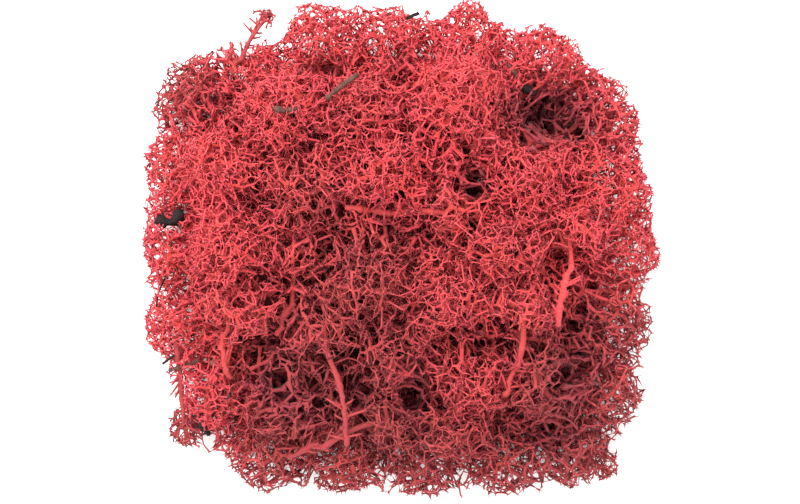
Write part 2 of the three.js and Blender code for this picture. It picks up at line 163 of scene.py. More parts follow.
def along_line(line, t):
    """The points at the shares t of the way along a line of a few points, its corners rounded off.

    Each is the mean of the places at t - ROUNDING, t and t + ROUNDING, or near the line's ends the place
    at t.
    """
    t = np.atleast_1d(t)
    far = np.append(0, np.cumsum(np.linalg.norm(np.diff(line, axis=0), axis=1)))
    to_side = np.where((t < ROUNDING) | (t > 1 - ROUNDING), 0.0, ROUNDING)
    spots = (t[:, None] + to_side[:, None] * [-1, 0, 1]) * far[-1]
    return np.stack([np.interp(spots, far, line[:, k]).mean(axis=1) for k in range(3)], axis=1)


def bump(place, x, y, half_width, half_height):
    """A smooth hill over the floor: 1 at x, y, and exp(-1) on the ellipse with these half axes."""
    return np.exp(-(((place[:, 0] - x) / half_width) ** 2) - ((place[:, 1] - y) / half_height) ** 2)


print("square to up", square_to(UP))

# %% [markdown]
# ## Fresh and old tufts
#
# The dye takes best on fresh growth. Towards one side of a clump there are older, dusty tufts, which are
# duller, and which have lost many of their finest arms, so that one sees into them. A number for each
# tuft says how old it is, from 0 to 1. Tufts that lie in shade get a higher number too, so the number also
# paints shade on them: painted shade. Later it is blended between neighbours, because the real change
# is gradual.
#
# Seven tufts lie on their side. Their bare stems show, and from them thick veins run over the fleece.

# %% Age of each tuft
# The numbers stand for age, and for sunken_west, middle_west and hollow, which lie in shade, partly for
# painted shade.
USUAL_AGE = 0.3
OTHER_AGES_AND_SHADE = {
    0.0: """rim_north_1 rim_north_2 rim_north_3 rim_northeast rim_north_west rim_west_high rim_west
        rim_west_low rim_east rim_southwest dome_northwest dome_west_high dome_west dome_east_high crown
        middle shoulder_east shoulder_east_low""",
    0.6: "sunken_west middle_west",
    0.8: """rim_northwest rim_south_1 rim_south_2 rim_south_3 rim_south_4 rim_southeast rim_east_low
        lower_middle lower_west middle_south foothill_east""",
    1.0: "hollow foothill_west foothill_middle rim_south_5 shoulder_southeast",
}
AGE_AND_SHADE = {name: USUAL_AGE for name in TUFTS}
AGE_AND_SHADE.update({name: age_and_shade_number for age_and_shade_number, names in OTHER_AGES_AND_SHADE.items() for name in names.split()})
LYING = """sunken_west lying_fan shoulder_east_low dome_southwest dome_southeast lower_west
    foothill_middle""".split()
print("mean age", round(sum(AGE_AND_SHADE.values()) / len(AGE_AND_SHADE), 2), "lying tufts", len(LYING))

# %% [markdown]
# ## Tears, hollows and the edge
#
# Tearing leaves holes that one looks down into, and hollows where the heads have sunk. The outline is
# dented where a tuft has come away and bulges where one has slipped. These are plain facts of this one
# clump, so they are lists, in millimetres on the floor.

# %% Tears, hollows and the edge
# x, y, half width, half height
TEARS = [
    (4.3, -41.7, 4.0, 6.0), (-35.5, -39.3, 2.6, 5.0), (22.1, 20.0, 2.8, 4.6), (50.2, -40.8, 2.0, 4.8),
    (40.0, 33.0, 4.2, 3.8), (46.0, -52.2, 3.4, 1.8), (-16.1, -40.5, 1.6, 3.6), (-31.0, -18.0, 1.6, 2.6),
    (-22.9, 1.5, 2.0, 2.4), (1.9, -33.3, 2.0, 2.6), (-15.8, 5.1, 1.2, 2.4), (-25.1, -21.0, 1.6, 1.6),
    (-7.6, -36.6, 1.6, 1.6), (52.4, -22.5, 1.3, 1.8), (57.0, -34.8, 1.2, 1.7), (49.4, -34.8, 2.0, 1.5),
    (37.6, 48.6, 2.2, 1.3), (24.4, -23.4, 1.1, 1.7), (-48.0, 35.0, 1.4, 4.0), (-23.0, 54.5, 7.0, 1.6),
]
# x, y, half width, half height, how far the growth has sunk
# A hollow is also painted shade: in the Stars cell its sinking darkens the colour of its stars.
HOLLOWS = [
    (45, 41, 17, 10, 10.0), (-22, 56, 11, 3.5, 3.0), (-57, 46, 8, 8, 4.0), (0, 52, 5, 8, 4.0),
    (-35, -43, 9, 9, 10.5), (4, -40, 8, 10, 7.0), (52, -38, 5.5, 11, 12.0), (-22, 1, 8, 7, 3.0),
    (-28, -20, 5, 8, 3.5), (45, -55, 9, 5.5, 11.0), (-14, -40, 5, 7, 4.0), (-48, 35, 3, 5, 3.0),
    (22, 20, 5, 7, 8.0), (60, -30, 5, 8, 4.0), (55, -17, 6, 10, 5.0),
]
# x, y, half width, how far the edge is pushed out
EDGE = [
    (-72, 55, 8, -4.0), (68, 50, 9, -4.5), (52, 63, 5, -2.0), (63.5, -64, 6, -3.5), (-68.5, -53, 5, -3.0),
    (73.4, -17.4, 5, -1.5), (71, -41, 5, -1.8), (-2.5, 72, 4, -1.5), (-16.6, -72, 7, -2.0),
    (7.4, -73, 6, -1.0), (30, -72, 6, -1.2), (-77, 14, 8, 3.2), (-77.5, 31, 4, 1.5), (-55.6, -61, 5, 2.0),
    (-41.5, -72, 5, 1.2), (-70.6, -37, 6, 1.5), (74.9, 18.6, 9, 2.5), (77, -3, 3, 1.0),
    (47.2, -73.8, 4, 3.5), (60, -70.5, 3, 1.0), (23.3, 74.4, 3, 1.5),
]
print(len(TEARS), "tears,", len(HOLLOWS), "hollows, deepest", max(row[4] for row in HOLLOWS), "mm")

# %% [markdown]
# ## Places for the stars
#
# A head ends in hundreds of little stars, and the heads have grown into each other, so from outside the
# clump is one even fleece. A grid of places is laid through the whole clump and jittered, which gives
# even spacing without rows. A random cloud would leave bald spots. The next cells find out which of
# these places become stars.
#
# Growth goes up and a little outwards: away from a root that lies under the middle of the clump, with
# the sideways way counting less than the way up.

# %% A jittered grid
GRID = 1.8
JITTER = 0.42
MARGIN = 2.0
ROOT_DEPTH = 5.0
LEANS_OUT = 0.4

random = np.random.default_rng(7)
every_tip = np.concatenate([tips for foot, tips in skeletons.values()])
low, high = every_tip.min(axis=0) - MARGIN, every_tip.max(axis=0) + MARGIN
low[2] = 0.0
counts = np.ceil((high - low) / GRID).astype(int)
cell = np.stack(np.meshgrid(*[np.arange(n) for n in counts], indexing="ij"), axis=-1).reshape(-1, 3)
place = low + (cell + 0.5 + random.uniform(-JITTER, JITTER, cell.shape)) * GRID
up = unit(place * [LEANS_OUT, LEANS_OUT, 1.0] + [0, 0, ROOT_DEPTH])
print(len(place), "places")

# %% [markdown]
# ## What lies round a place
#
# Each place looks at the tips of each tuft near it. It belongs to the tuft whose tip suits it best, and
# it lies under that tip's little cap or not. The mean direction to all tips tells whether the place is
# among them, over them or under them. The tips further out tell how much light is left for it.

# %% Looking round
DEEP = 8.0  # how far a tip's cap reaches down
WIDE = 6.5  # and to the side
CROWN = 8.0  # the radius of its top
SIGHT = 16.0  # how far a place looks for tips around it
FAR_SIGHT = 26.0  # and for tips that stand over it


def outward(foot, tips):
    """Where each tip points: away from a place a little under the middle of all tips."""
    middle = tips.mean(axis=0)
    under = middle - 0.4 * np.linalg.norm(tips - middle, axis=1).mean() * unit(middle - foot)
    return unit(tips - under)


def under_caps(offset, distance, ways):
    """For each place, whether it is under a cap, the tip that suits it best, how well, and its depth.

    At height h over a tip, along the tip's way out, and s beside it, a place is under the tip's cap if
    h < 1 - s * s / (2 * CROWN), h > -DEEP and s < WIDE. The tip with the least distance suits best, and
    under the tip the height counts only 0.7.
    """
    height = (offset * ways).sum(axis=2)
    beside = np.sqrt(np.maximum(distance**2 - height**2, 0))
    cap = -(beside**2) / (2 * CROWN)
    covered = ((height < 1 + cap) & (height > -DEEP) & (beside < WIDE)).any(axis=1)
    score = np.where(height < 0, np.sqrt(beside**2 + (0.7 * height) ** 2), distance)
    best = score.argmin(axis=1)
    row = np.arange(len(best))
    return covered, best, score[row, best], (cap - height)[row, best]


def growth_over(offset, distance, way_up):
    """How much growth stands over each place, and how far over it the highest of it is.

    A tip at a along the way up and s beside it counts 1 / (1 + s) if a > 0.5 and s < 0.7 * a + 2.
    """
    along = -(offset * way_up[:, None]).sum(axis=2)
    side = np.sqrt(np.maximum(distance**2 - along**2, 0))
    counted = (along > 0.5) & (side < 0.7 * along + 2.0)
    return np.where(counted, 1 / (1 + side), 0).sum(axis=1), (along - 0.5 * side).max(axis=1)


print("caps reach", WIDE, "mm round a tip and", DEEP, "mm under it")

# %% [markdown]
# One pass over the tufts fills the arrays below, each with one row for each place. Only the places in a
# box round the tuft are looked at, so the pass takes a few seconds. A little chance in the choice of the
# owner makes the border between two tufts ragged.

# %% One pass over the tufts
RAGGED = 1.0
AGE_OF_STRAYS = 0.6

many = len(place)
owner, suits = np.zeros(many, int), np.full(many, 1e9)
under_cap, below_cap, way_out = np.zeros(many, bool), np.zeros(many), np.zeros((many, 3))
lean, crowd, crowd_age_and_shade = np.zeros((many, 3)), np.zeros(many), np.zeros(many)
over, highest = np.zeros(many), np.zeros(many)
nearest, towards = np.full((2, many), 1e9), np.zeros((2, many, 3))

for index, name in enumerate(TUFTS):
    foot, tips = skeletons[name]
    ways = outward(foot, tips)
    in_box = (place > tips.min(axis=0) - FAR_SIGHT) & (place < tips.max(axis=0) + SIGHT)
    box = np.flatnonzero(in_box.all(axis=1))
    offset = place[box][:, None] - tips
    distance = np.linalg.norm(offset, axis=2)

    covered, best, score, depth_under = under_caps(offset, distance, ways)
    under_cap[box] |= covered
    better = score + random.uniform(-RAGGED, RAGGED, len(box)) < suits[box]
    chosen = box[better]
    suits[chosen], owner[chosen] = score[better], index
    way_out[chosen], below_cap[chosen] = ways[best][better], depth_under[better]

    weight = np.where(distance < SIGHT, 1 / (distance**2 + 4), 0)
    lean[box] -= (weight[:, :, None] * offset / distance[:, :, None]).sum(axis=1)
    crowd[box] += weight.sum(axis=1)
    crowd_age_and_shade[box] += weight.sum(axis=1) * AGE_AND_SHADE[name]

    stands_over, top = growth_over(offset, distance, up[box])
    over[box] += stands_over
    highest[box] = np.maximum(highest[box], top)

    row, tip = np.arange(len(box)), distance.argmin(axis=1)
    distance, offset = distance[row, tip], offset[row, tip]
    first = distance < nearest[0, box]
    nearest[1, box[first]], towards[1, box[first]] = nearest[0, box[first]], towards[0, box[first]]
    nearest[0, box[first]], towards[0, box[first]] = distance[first], offset[first]
    second = ~first & (distance < nearest[1, box])
    nearest[1, box[second]], towards[1, box[second]] = distance[second], offset[second]

lean /= np.maximum(crowd[:, None], 1e-9)
# The tufts' numbers for age and painted shade, blended between neighbours.
age_and_shade = np.where(crowd > 1e-4, crowd_age_and_shade / np.maximum(crowd, 1e-4), AGE_OF_STRAYS)
print("under a cap", under_cap.sum(), "of", many, "places")

# %% [markdown]
# ## Fleece, core and ground
#
# Four layers are told apart. The fleece is the outermost growth, where nearly every place becomes a
# star. The shell is the rest of the heads, and the core the tangle under them, both sparser. The ground
# is the torn-off bottom, a low felt that shuts out the light from below.
#
# A place is between two heads if their nearest tips lie on opposite sides of it. It is among the tips if
# one is near and the mean direction to all of them is short, which means that they are all round it. The
# limits below are in millimetres, but for OPEN_SKY and SHUT_IN, which are growth overhead.

# %% Four layers
BRIDGE = 7.0
FLEECE = 2.0
NEAR_A_TIP, NEAR_A_HEAD, NEAR_THE_CLUMP = 12, 15, 40
CORE_BOTTOM, GROUND_TOP = 4, 6
OPEN_SKY, SHUT_IN = 0.45, 0.8

facing = (towards[0] * towards[1]).sum(axis=1) / np.maximum(nearest[0] * nearest[1], 1e-9)
between = (nearest[1] < BRIDGE) & (facing < -0.2)
leaning = np.linalg.norm(lean, axis=1)
past_the_tips = ((lean * up).sum(axis=1) < 0) & (leaning > 0.05)
among = (suits < NEAR_A_TIP) & np.where(past_the_tips, leaning < 0.2, leaning < 0.6)
shell = under_cap | among | between
core = ((lean * up).sum(axis=1) > 0.25) & (suits < NEAR_A_HEAD) & (place[:, 2] > CORE_BOTTOM)
ground = (over > SHUT_IN) & (suits < NEAR_THE_CLUMP) & (place[:, 2] < GROUND_TOP) & ~(shell | core)
fleece = (over < OPEN_SKY) & (under_cap & (below_cap < FLEECE) | ~under_cap & (between | among))
way_out = np.where((under_cap & ~between)[:, None], way_out, unit(up - 0.5 * lean))
print("fleece", fleece.sum(), "shell", shell.sum(), "core", core.sum(), "ground", ground.sum())

# %% [markdown]
# ## Settling the fleece
#
# The places of the fleece are drawn up to the caps, which makes the heads domes. Where two heads meet,
# a seam sinks in. Then the hollows are pressed down and the edge is pushed in or out. A hollow takes a
# share of the height away, so that it is deep in the heads and leaves the ground where it is.

# %% Domes, seams, hollows
SEAM = 4.0
SEAM_DEPTH = 2.2
UNEVEN = 0.35
LEFT_IN_TEARS = 0.12
HEAD_HEIGHT = 40
DEEPEST = 12

seam = np.clip(1 - (nearest[1] - nearest[0]) / SEAM, 0, 1) * fleece
lift = np.where(under_cap & fleece, below_cap + random.normal(0, UNEVEN, many), 0)
place += (lift - SEAM_DEPTH * seam)[:, None] * way_out

gap = np.zeros(many, bool)
for x, y, half_width, half_height in TEARS:
    gap |= ((place[:, 0] - x) / half_width) ** 2 + ((place[:, 1] - y) / half_height) ** 2 < 1
torn = gap & (random.random(many) > LEFT_IN_TEARS)
sunk = sum(sink * bump(place, *ellipse) for *ellipse, sink in HOLLOWS)
place[:, 2] *= 1 - np.minimum(sunk, DEEPEST) / HEAD_HEIGHT
for x, y, half_width, push in EDGE:
    place += (push * bump(place, x, y, half_width, half_width))[:, None] * unit(place * [1.0, 1.0, 0.0])
print("torn", torn.sum(), "sunk by more than 3 mm", (sunk > 3).sum())

# %% [markdown]
# ## Clearing the bare stems
#
# A bare stem is bare because nothing grows over it. The places over a lying stem are cleared, and so is
# the air round the spray that stands out at one corner, which keeps only the places at its own tips.

# %% Clearing the stems
CLEARED_LYING = 1.6
CLEARED_SPRAY = 0.8
AT_ITS_TIPS = 1.5
# x, y, radius
AROUND_SPRAY = [(-42.5, 69.0, 6.6), (-36.5, 72.5, 4.5), (-47.5, 62.5, 3.0)]


def owned_by(names):
    """Whether each place belongs to one of the tufts with these names."""
    return np.isin(owner, [TUFTS.index(name) for name in names])


of_others = ~owned_by(["spray_northwest"])
for x, y, radius in AROUND_SPRAY:
    torn |= of_others & (np.hypot(place[:, 0] - x, place[:, 1] - y) < radius)
own_tips = skeletons["spray_northwest"][1]
torn |= ~of_others & (np.linalg.norm(place[:, None] - own_tips, axis=2).min(axis=1) > AT_ITS_TIPS)
for name in LYING + ["spray_northwest", "spray_west"]:
    spots = along_line(stems[name], np.linspace(0, 1, 16))
    beside = np.linalg.norm(place[:, None, :2] - spots[:, :2], axis=2)
    cleared = CLEARED_LYING if name in LYING else CLEARED_SPRAY
    torn |= ((beside < cleared) & (place[:, 2:] > spots[:, 2] - 1.0)).any(axis=1)
print("torn or cleared", torn.sum())

# %% [markdown]
# ## Which places become stars
#
# Chance thins the layers: old tufts keep fewer stars, and lying ones too, so that their veins show. Then
# each star gets two numbers for its colour, and both paint shade. depth runs from 0 in the light to 1 in
# the dark: painted shade, darker under more growth, in valleys and seams between the domes, in hollows,
# tears and the ground. age runs from 0 for fresh to 1 for old. It is raised in hollows and set to 1 in
# tears and the ground, so it is partly the real age and partly painted shade. Near the edge of the clump
# the ground is thinner and lets light through.

# %% Stars
# chances of a place to become a star
OPEN_WITH_AGE = 0.55
SHELL_CHANCE, CORE_CHANCE, LOW_CHANCE = 0.29, 0.18, 0.4
GROUND_CHANCE, EDGE_CHANCE = 0.75, 0.45
# millimetres: from the middle to where the edge begins, and heights
EDGE_FROM = 64
LOW, TEAR_BOTTOM, SOLE = 7, 10, 0.6
# so much growth overhead is dark
DARK_UNDER = 16
LYING_AGE, SPRAY_AGE = 0.75, 0.85

height = place[:, 2]
opened = OPEN_WITH_AGE * np.where(owned_by(LYING), np.maximum(age_and_shade, LYING_AGE), age_and_shade)
by_the_edge = (place[:, :2] ** 4).sum(axis=1) ** 0.25 > EDGE_FROM
chance = np.where(fleece, 1.0 - opened, np.where(shell & (over < 2.5), SHELL_CHANCE, CORE_CHANCE))
chance = np.where(~fleece & (height < LOW), np.maximum(chance, LOW_CHANCE), chance)
chance = np.where(ground, np.where(by_the_edge, EDGE_CHANCE, GROUND_CHANCE), chance)
chance = np.where(gap & (height < LOW + 1), 1.0, chance)
grown = (shell | core | ground | gap & (height < LOW)) & (height > SOLE)
bared = torn & ((height > TEAR_BOTTOM) | ~of_others)
kept = grown & (random.random(many) < chance) & ~bared

# Painted shade in the fleece: darker in valleys below higher growth, and along the seams between heads.
fleece_shade = np.clip((highest - 1.5) / DARK_UNDER + 0.22 * seam, 0, 0.6)
depth = np.where(fleece, fleece_shade, np.clip((over - 0.3) / DARK_UNDER, 0, 1))
# Painted shade: the ground and the tears are darkest, and a hollow is darker the deeper it has sunk.
depth = np.where(ground, 1.0, depth)
depth = np.maximum(depth, np.minimum(depth + sunk / DEEPEST, 0.98))
depth = np.where(gap, 1.0, depth)
# The age mask paints shade too: hollows count as older, and the tears and the ground as oldest.
age_and_shade = np.where(gap | ground, 1.0, np.maximum(age_and_shade, np.clip(sunk / 8, 0, 1)))
age_and_shade = np.where(owned_by(SPRAYS), SPRAY_AGE, age_and_shade)

star, star_out, star_fleece = place[kept], way_out[kept], fleece[kept]
star_owner, star_cell = owner[kept], cell[kept]
shade = np.stack([depth, age_and_shade], axis=1)[kept]
print(len(star), "stars,", star_fleece.sum(), "of them in the fleece")

# %% [markdown]
# ## Rays that meet
#
# Seen closely, the fleece is a net: each star's rays touch the rays of the stars round it. So a ray
# isn't sent out at random but to a neighbour, and a neighbour in the tuft's direction of growth is
# favoured, which draws the meshes long as they are on the real thing. Some stars keep one free ray that
# points outwards, more of them at the rim, where these rays are longer and fray the edge.

# %% Rays
RAY = 1.2
REACH_OVER = 0.95
ALONG_GROWTH = 0.35
FARTHEST = 4.2
SAME_WAY = 0.55
FOUR_RAYS = 0.4
RIM_FROM = 55
RIM_STRETCH = 1.35
NOBODY = 1e6
# the cells around a cell, which is number 13 of the 27, in an array with a border of one cell
AROUND = np.delete(np.indices((3, 3, 3)).reshape(3, -1).T, 13, axis=0)


def ray_ways(growth, random):
    """For each star, four vectors from its middle to the ends of its rays, and how many of them it has.

    The neighbours are looked for in the 26 cells of the grid around the star's own. A neighbour at
    distance d, whose direction makes the cosine c with the growth, scores d * (1 - ALONG_GROWTH * |c|).
    A ray goes REACH_OVER of the way to the one with the lowest score, and those whose direction makes
    a cosine over SAME_WAY with it are then out of the running for the next ray. Where nobody is left,
    or none nearer than FARTHEST, the ray goes anywhere outwards.
    """
    number = np.full(star_cell.max(axis=0) + 3, -1)
    number[tuple(star_cell.T + 1)] = np.arange(len(star))
    neighbour = number[tuple((star_cell[:, None] + AROUND).transpose(2, 0, 1))]
    offset = star[neighbour] - star[:, None]
    distance = np.linalg.norm(offset, axis=2)
    distance[neighbour < 0] = NOBODY
    ways = offset / np.maximum(distance, 1e-9)[..., None]
    score = distance * (1 - ALONG_GROWTH * np.abs((ways * growth[:, None]).sum(axis=2)))
    rays, row = [], np.arange(len(star))
    for turn in range(3):
        best = score.argmin(axis=1)
        ray = REACH_OVER * offset[row, best]
        lost = (distance[row, best] > FARTHEST) | (score[row, best] > NOBODY / 2)
        anywhere = unit(random.normal(0, 1, (lost.sum(), 3)) + 1.2 * star_out[lost])
        ray[lost] = (RAY + 1.5 * shade[lost, :1]) * anywhere
        rays.append(ray)
        score = np.where((ways * unit(ray)[:, None]).sum(axis=2) > SAME_WAY, NOBODY, score)
    free = RAY * random.uniform(0.6, 1.2, (len(star), 1))
    free = free * unit(star_out + random.normal(0, 0.6, star_out.shape))
    lucky = random.random(len(star))
    rim = star_fleece & (star_out[:, 2] < 0.5) & (np.hypot(star[:, 0], star[:, 1]) > RIM_FROM)
    free[rim] *= RIM_STRETCH
    rays[2] = np.where((star_fleece & (lucky > np.where(rim, 0.5, 0.75)))[:, None], free, rays[2])
    return np.stack(rays + [free], axis=1), np.where(star_fleece & (lucky < FOUR_RAYS), 4, 3)


feet = np.array([skeletons[name][0] for name in TUFTS])
rays, ray_count = ray_ways(unit(star - feet[star_owner]), random)
ray_length = np.linalg.norm(rays[:, :3], axis=2).mean()
print(ray_count.sum(), f"rays, mean length {ray_length:.2f} mm")

# %% [markdown]
# ## Growing by halves
#
# A tuft is worked out from its stars back. The stem forks on its way to the middle of all stars, each
# arm carries the half of them that lies on its side, and so on down to single stars. A round of forks
# is one array operation for all arms at once. A recipe of turtle steps, as in an L-system, would fork as
# nicely but wouldn't arrive at given places.
#
# On a fresh tuft the forks lie deep under the fleece. On an old one they lie close under its stars, and
# on a lying one they rise to the surface as veins.

# %% Growing
DEPTH_COUNTS = 0.8
WAVER = 0.1


def halved(groups, marks, way):
    """Each group in two equal groups, by how far its stars lie towards the one furthest from the middle.

    Along the way that the branch is going, distances count DEPTH_COUNTS of their size.
    """
    offset = groups - groups.mean(axis=1, keepdims=True)
    along = unit(way)[:, None]
    offset = offset - (1 - DEPTH_COUNTS) * (offset * along).sum(axis=2, keepdims=True) * along
    widest = np.take_along_axis(offset, (offset**2).sum(axis=2).argmax(axis=1)[:, None, None], axis=1)
    order = (offset * widest).sum(axis=2).argsort(axis=1)
    groups = np.take_along_axis(groups, order[:, :, None], axis=1).reshape(2 * len(groups), -1, 3)
    return groups, np.take_along_axis(marks, order, axis=1).reshape(len(groups), -1)


def grow(stem, own, before, rise, random):
    """The joints of a tuft, one array for each round of forks, which are alive, their shades, the stars.

    A fork lies before times the spread of its stars ahead of their middle, but between 15 and 85 percent
    of the way there. It is raised by rise * 0.7 to the power of its round, and strays to any side by
    about WAVER times the way. To fill the last round, some stars are taken twice. Their doubles are
    dead, and so is an arm that carries nothing else. The last joints are the stars themselves, and the
    last array returned is their numbers.
    """
    rounds = math.ceil(math.log2(len(own)))
    doubles = random.choice(len(own), 2**rounds - len(own), replace=False)
    numbers = np.concatenate([own, own[doubles]])
    marks = np.where(np.arange(2**rounds) < len(own), numbers, -1 - numbers)[None]
    joints = [stem[-1:]]
    groups, marks = halved(star[numbers][None], marks, stem[-1:] - stem[-2:-1])
    for level in range(1, rounds):
        at = np.repeat(joints[-1], 2, axis=0)
        way = groups.mean(axis=1) - at
        stray = WAVER * np.linalg.norm(way, axis=1, keepdims=True) * random.normal(0, 0.6, way.shape)
        spread = np.sqrt(groups.var(axis=1).sum(axis=1, keepdims=True))
        share = np.clip(1 - before * spread / np.linalg.norm(way, axis=1, keepdims=True), 0.15, 0.85)
        joints.append(at + share * way + stray + [0.0, 0.0, rise * 0.7**level])
        groups, marks = halved(groups, marks, way)
    joints.append(groups[:, 0])
    living = marks[:, 0] >= 0
    number = np.where(living, marks[:, 0], -1 - marks[:, 0])
    alive, shades = [living], [shade[number]]
    for level in range(rounds):
        alive.append(alive[-1].reshape(-1, 2).any(axis=1))
        shades.append(shades[-1].reshape(-1, 2, 2).mean(axis=1))
    return joints, alive[::-1], shades[::-1], number


print("rounds of forks in the largest tuft", math.ceil(math.log2(np.bincount(star_owner).max())))

# %% [markdown]
# ## One skin round all branches
#
# A tube for every branch would leave thousands of open ends and crossing walls. Here one skin runs from
# the foot to the last ray. A branch ends in a ring of corners. At a fork, a saddle point stands over the
# middle of that ring, and each half of the ring makes a smaller ring with it, on which an arm starts.
# The thick stems have eight or six corners to a ring and some rings on the way. A twig has three, which
# is enough for a strand a third of a millimetre thick, and keeps a fork at seven triangles.

# %% Rings and strips
def ring(centre, radius, u, v, sides):
    """Rings of corners. Corner i stands at the angle -90 + (i + 0.5) * 360 / sides degrees from u to v."""
    turn = -math.pi / 2 + (np.arange(sides) + 0.5) * 2 * math.pi / sides
    wheel = np.cos(turn)[:, None] * u[:, None] + np.sin(turn)[:, None] * v[:, None]
    return centre[:, None] + radius[:, None, None] * wheel


def merging_walk(a, b):
    """Triangles between a ring of corners 0 to a - 1 and a ring of corners a to a + b - 1.

    The walk goes round both at once, and each step is made on the ring that has lagged behind.
    """
    i = j = 0
    triangles = []
    while i < a or j < b:
        if (i + 0.5) / a <= (j + 0.5) / b:
            triangles.append((i % a, (i + 1) % a, a + j % b))
            i += 1
        else:
            triangles.append((i % a, a + (j + 1) % b, a + j % b))
            j += 1
    return np.array(triangles)


print("between rings of 4 and 3 corners:", merging_walk(4, 3).tolist())

# %% [markdown]
# The skin is gathered in lists of arrays, one for each step of the work, and joined when the tuft is
# whole. Two rings that are joined can be turned against each other in many ways. All are tried, and the
# one that twists the wall least is taken.

# %% The skin of a tuft
class Skin:
    """The corners of one tuft, how far up the tuft each is, its shade, and the faces."""

    def __init__(self):
        self.corners, self.reach, self.shade, self.faces, self.count = [], [], [], [], 0

    def add(self, corners, reach, shade):
        """Keeps new corners, shaped (branches, sides, 3), and returns their numbers."""
        numbers = self.count + np.arange(corners[..., 0].size).reshape(corners.shape[:-1])
        self.corners.append(corners.reshape(-1, 3))
        self.reach.append(np.full(numbers.size, reach))
        self.shade.append(np.repeat(shade, numbers.shape[-1], axis=0))
        self.count += numbers.size
        return numbers

    def fan(self, rings, points):
        """Closes each ring in its point."""
        points = np.broadcast_to(points, rings.shape)
        self.faces.append(np.stack([rings, np.roll(rings, -1, axis=1), points], axis=2).reshape(-1, 3))

    def strip(self, start, end, way):
        """Joins each start ring to its end ring in the order that twists least.

        The twist is the sum of the squared sideways lengths of the edges that run along the branch.
        """
        a, b = start.shape[1], end.shape[1]
        walk = merging_walk(a, b)
        placed = np.concatenate(self.corners)
        turns = [(m, k) for m in range(a) for k in range(b)]
        twist = []
        for m, k in turns:
            both = np.concatenate([np.roll(start, -m, axis=1), np.roll(end, -k, axis=1)], axis=1)
            across = placed[both[:, walk[:, 2]]] - placed[both[:, walk[:, 0]]]
            across = across - (across * way[:, None]).sum(axis=2, keepdims=True) * way[:, None]
            twist.append((across**2).sum(axis=(1, 2)))
        m, k = np.array(turns)[np.argmin(twist, axis=0)].T[:, :, None]
        start = np.take_along_axis(start, (np.arange(a) + m) % a, axis=1)
        end = np.take_along_axis(end, (np.arange(b) + k) % b, axis=1)
        self.faces.append(np.concatenate([start, end], axis=1)[:, walk].reshape(-1, 3))

    def fork(self, top, saddle):
        """The two rings on which each branch's arms start, as two rows: half of its top and its saddle."""
        half = top.shape[1] // 2 if top.shape[1] > 3 else 2
        if top.shape[1] > 3:
            self.faces.append(np.stack([top[:, half - 1], top[:, half], saddle[:, 0]], axis=1))
        self.faces.append(np.stack([top[:, -1], top[:, 0], saddle[:, 0]], axis=1))
        pair = [np.concatenate([side, saddle], axis=1) for side in (top[:, :half], top[:, -half:])]
        return np.stack(pair, axis=1).reshape(-1, half + 1)

    def close(self, rings):
        """Closes each ring flat, where an arm is left out."""
        for k in range(1, rings.shape[1] - 1):
            self.faces.append(np.stack([rings[:, 0], rings[:, k], rings[:, k + 1]], axis=1))

    def whole(self):
        """Corners, reach, shade and faces as four arrays."""
        return [np.concatenate(part) for part in (self.corners, self.reach, self.shade, self.faces)]


trial, axis, no_shade = Skin(), UP[None], np.zeros((1, 2))
lower = trial.add(ring(0 * axis, np.ones(1), *square_to(axis), 3), 0.0, no_shade)
upper = trial.add(ring(axis, np.ones(1), *square_to(axis), 3), 1.0, no_shade)
trial.strip(lower, upper, axis)
trial.fork(upper, trial.add(1.6 * axis[:, None], 1.0, no_shade))
print("a twig and its fork have", len(trial.whole()[3]), "triangles")

# %% [markdown]
# ## Stars and side shoots
#
# A star is the end of a twig. Its ring has one corner for each ray, and each ray is a thin spike over
# two of these corners and the saddle point. Inside the clump the stars are stouter, so that fewer of
# them close the view. A bare stem carries little side shoots, each a closed skin of its own that starts
# inside the stem and ends in a star.

# %% Stars and side shoots
STAR_RADIUS = 0.31
STAR_REACH = 0.92
STOUT_INSIDE = 1.4
STOUT_STAR = 0.7 * STOUT_INSIDE
STOUT_GROUND = 1.2
KNOBBLE = 0.1
SADDLE = 0.6
SHOOT_EVERY = 1.5
SHOOT_RAY = 1.5
SHOOT_REACH = 0.45


def star_skin(skin, start, begin, middle, own_rays, inside, random):
    """Ends each branch in a star: a ring with one corner for each ray, a saddle point, and the rays.

    The rays are put in the order of their angles round the branch, and the ring is turned so that each
    ray leaves between two corners. The ring's radius is STAR_RADIUS * (1 + STOUT_STAR * depth), and
    larger again in the ground, where the depth is 1.
    """
    count = own_rays.shape[1]
    way = unit(middle - begin)
    u, v = square_to(way)
    angle = np.arctan2((own_rays * v[:, None]).sum(axis=2), (own_rays * u[:, None]).sum(axis=2))
    order = angle.argsort(axis=1)
    own_rays = np.take_along_axis(own_rays, order[:, :, None], axis=1)
    lag = np.take_along_axis(angle, order, axis=1) - np.arange(count) * 2 * math.pi / count
    phase = np.arctan2(np.sin(lag).sum(axis=1), np.cos(lag).sum(axis=1))
    turn = phase[:, None] + (np.arange(count) - 0.5) * 2 * math.pi / count
    wheel = np.cos(turn)[:, :, None] * u[:, None] + np.sin(turn)[:, :, None] * v[:, None]
    stout = 1 + STOUT_STAR * inside[:, 0] + STOUT_GROUND * (inside[:, 0] > 0.99)
    size = STAR_RADIUS * stout * (1 + KNOBBLE * random.normal(0, 1, len(middle)))
    top = skin.add(middle[:, None] + size[:, None, None] * wheel, STAR_REACH, inside)
    skin.strip(start, top, way)
    saddle = skin.add((middle + SADDLE * size[:, None] * way)[:, None], STAR_REACH, inside)
    tips = skin.add(middle[:, None] + own_rays, 1.0, inside)
    for i in range(count):
        arm = np.stack([top[:, i], top[:, (i + 1) % count], saddle[:, 0]], axis=1)
        skin.fan(arm, tips[:, i : i + 1])


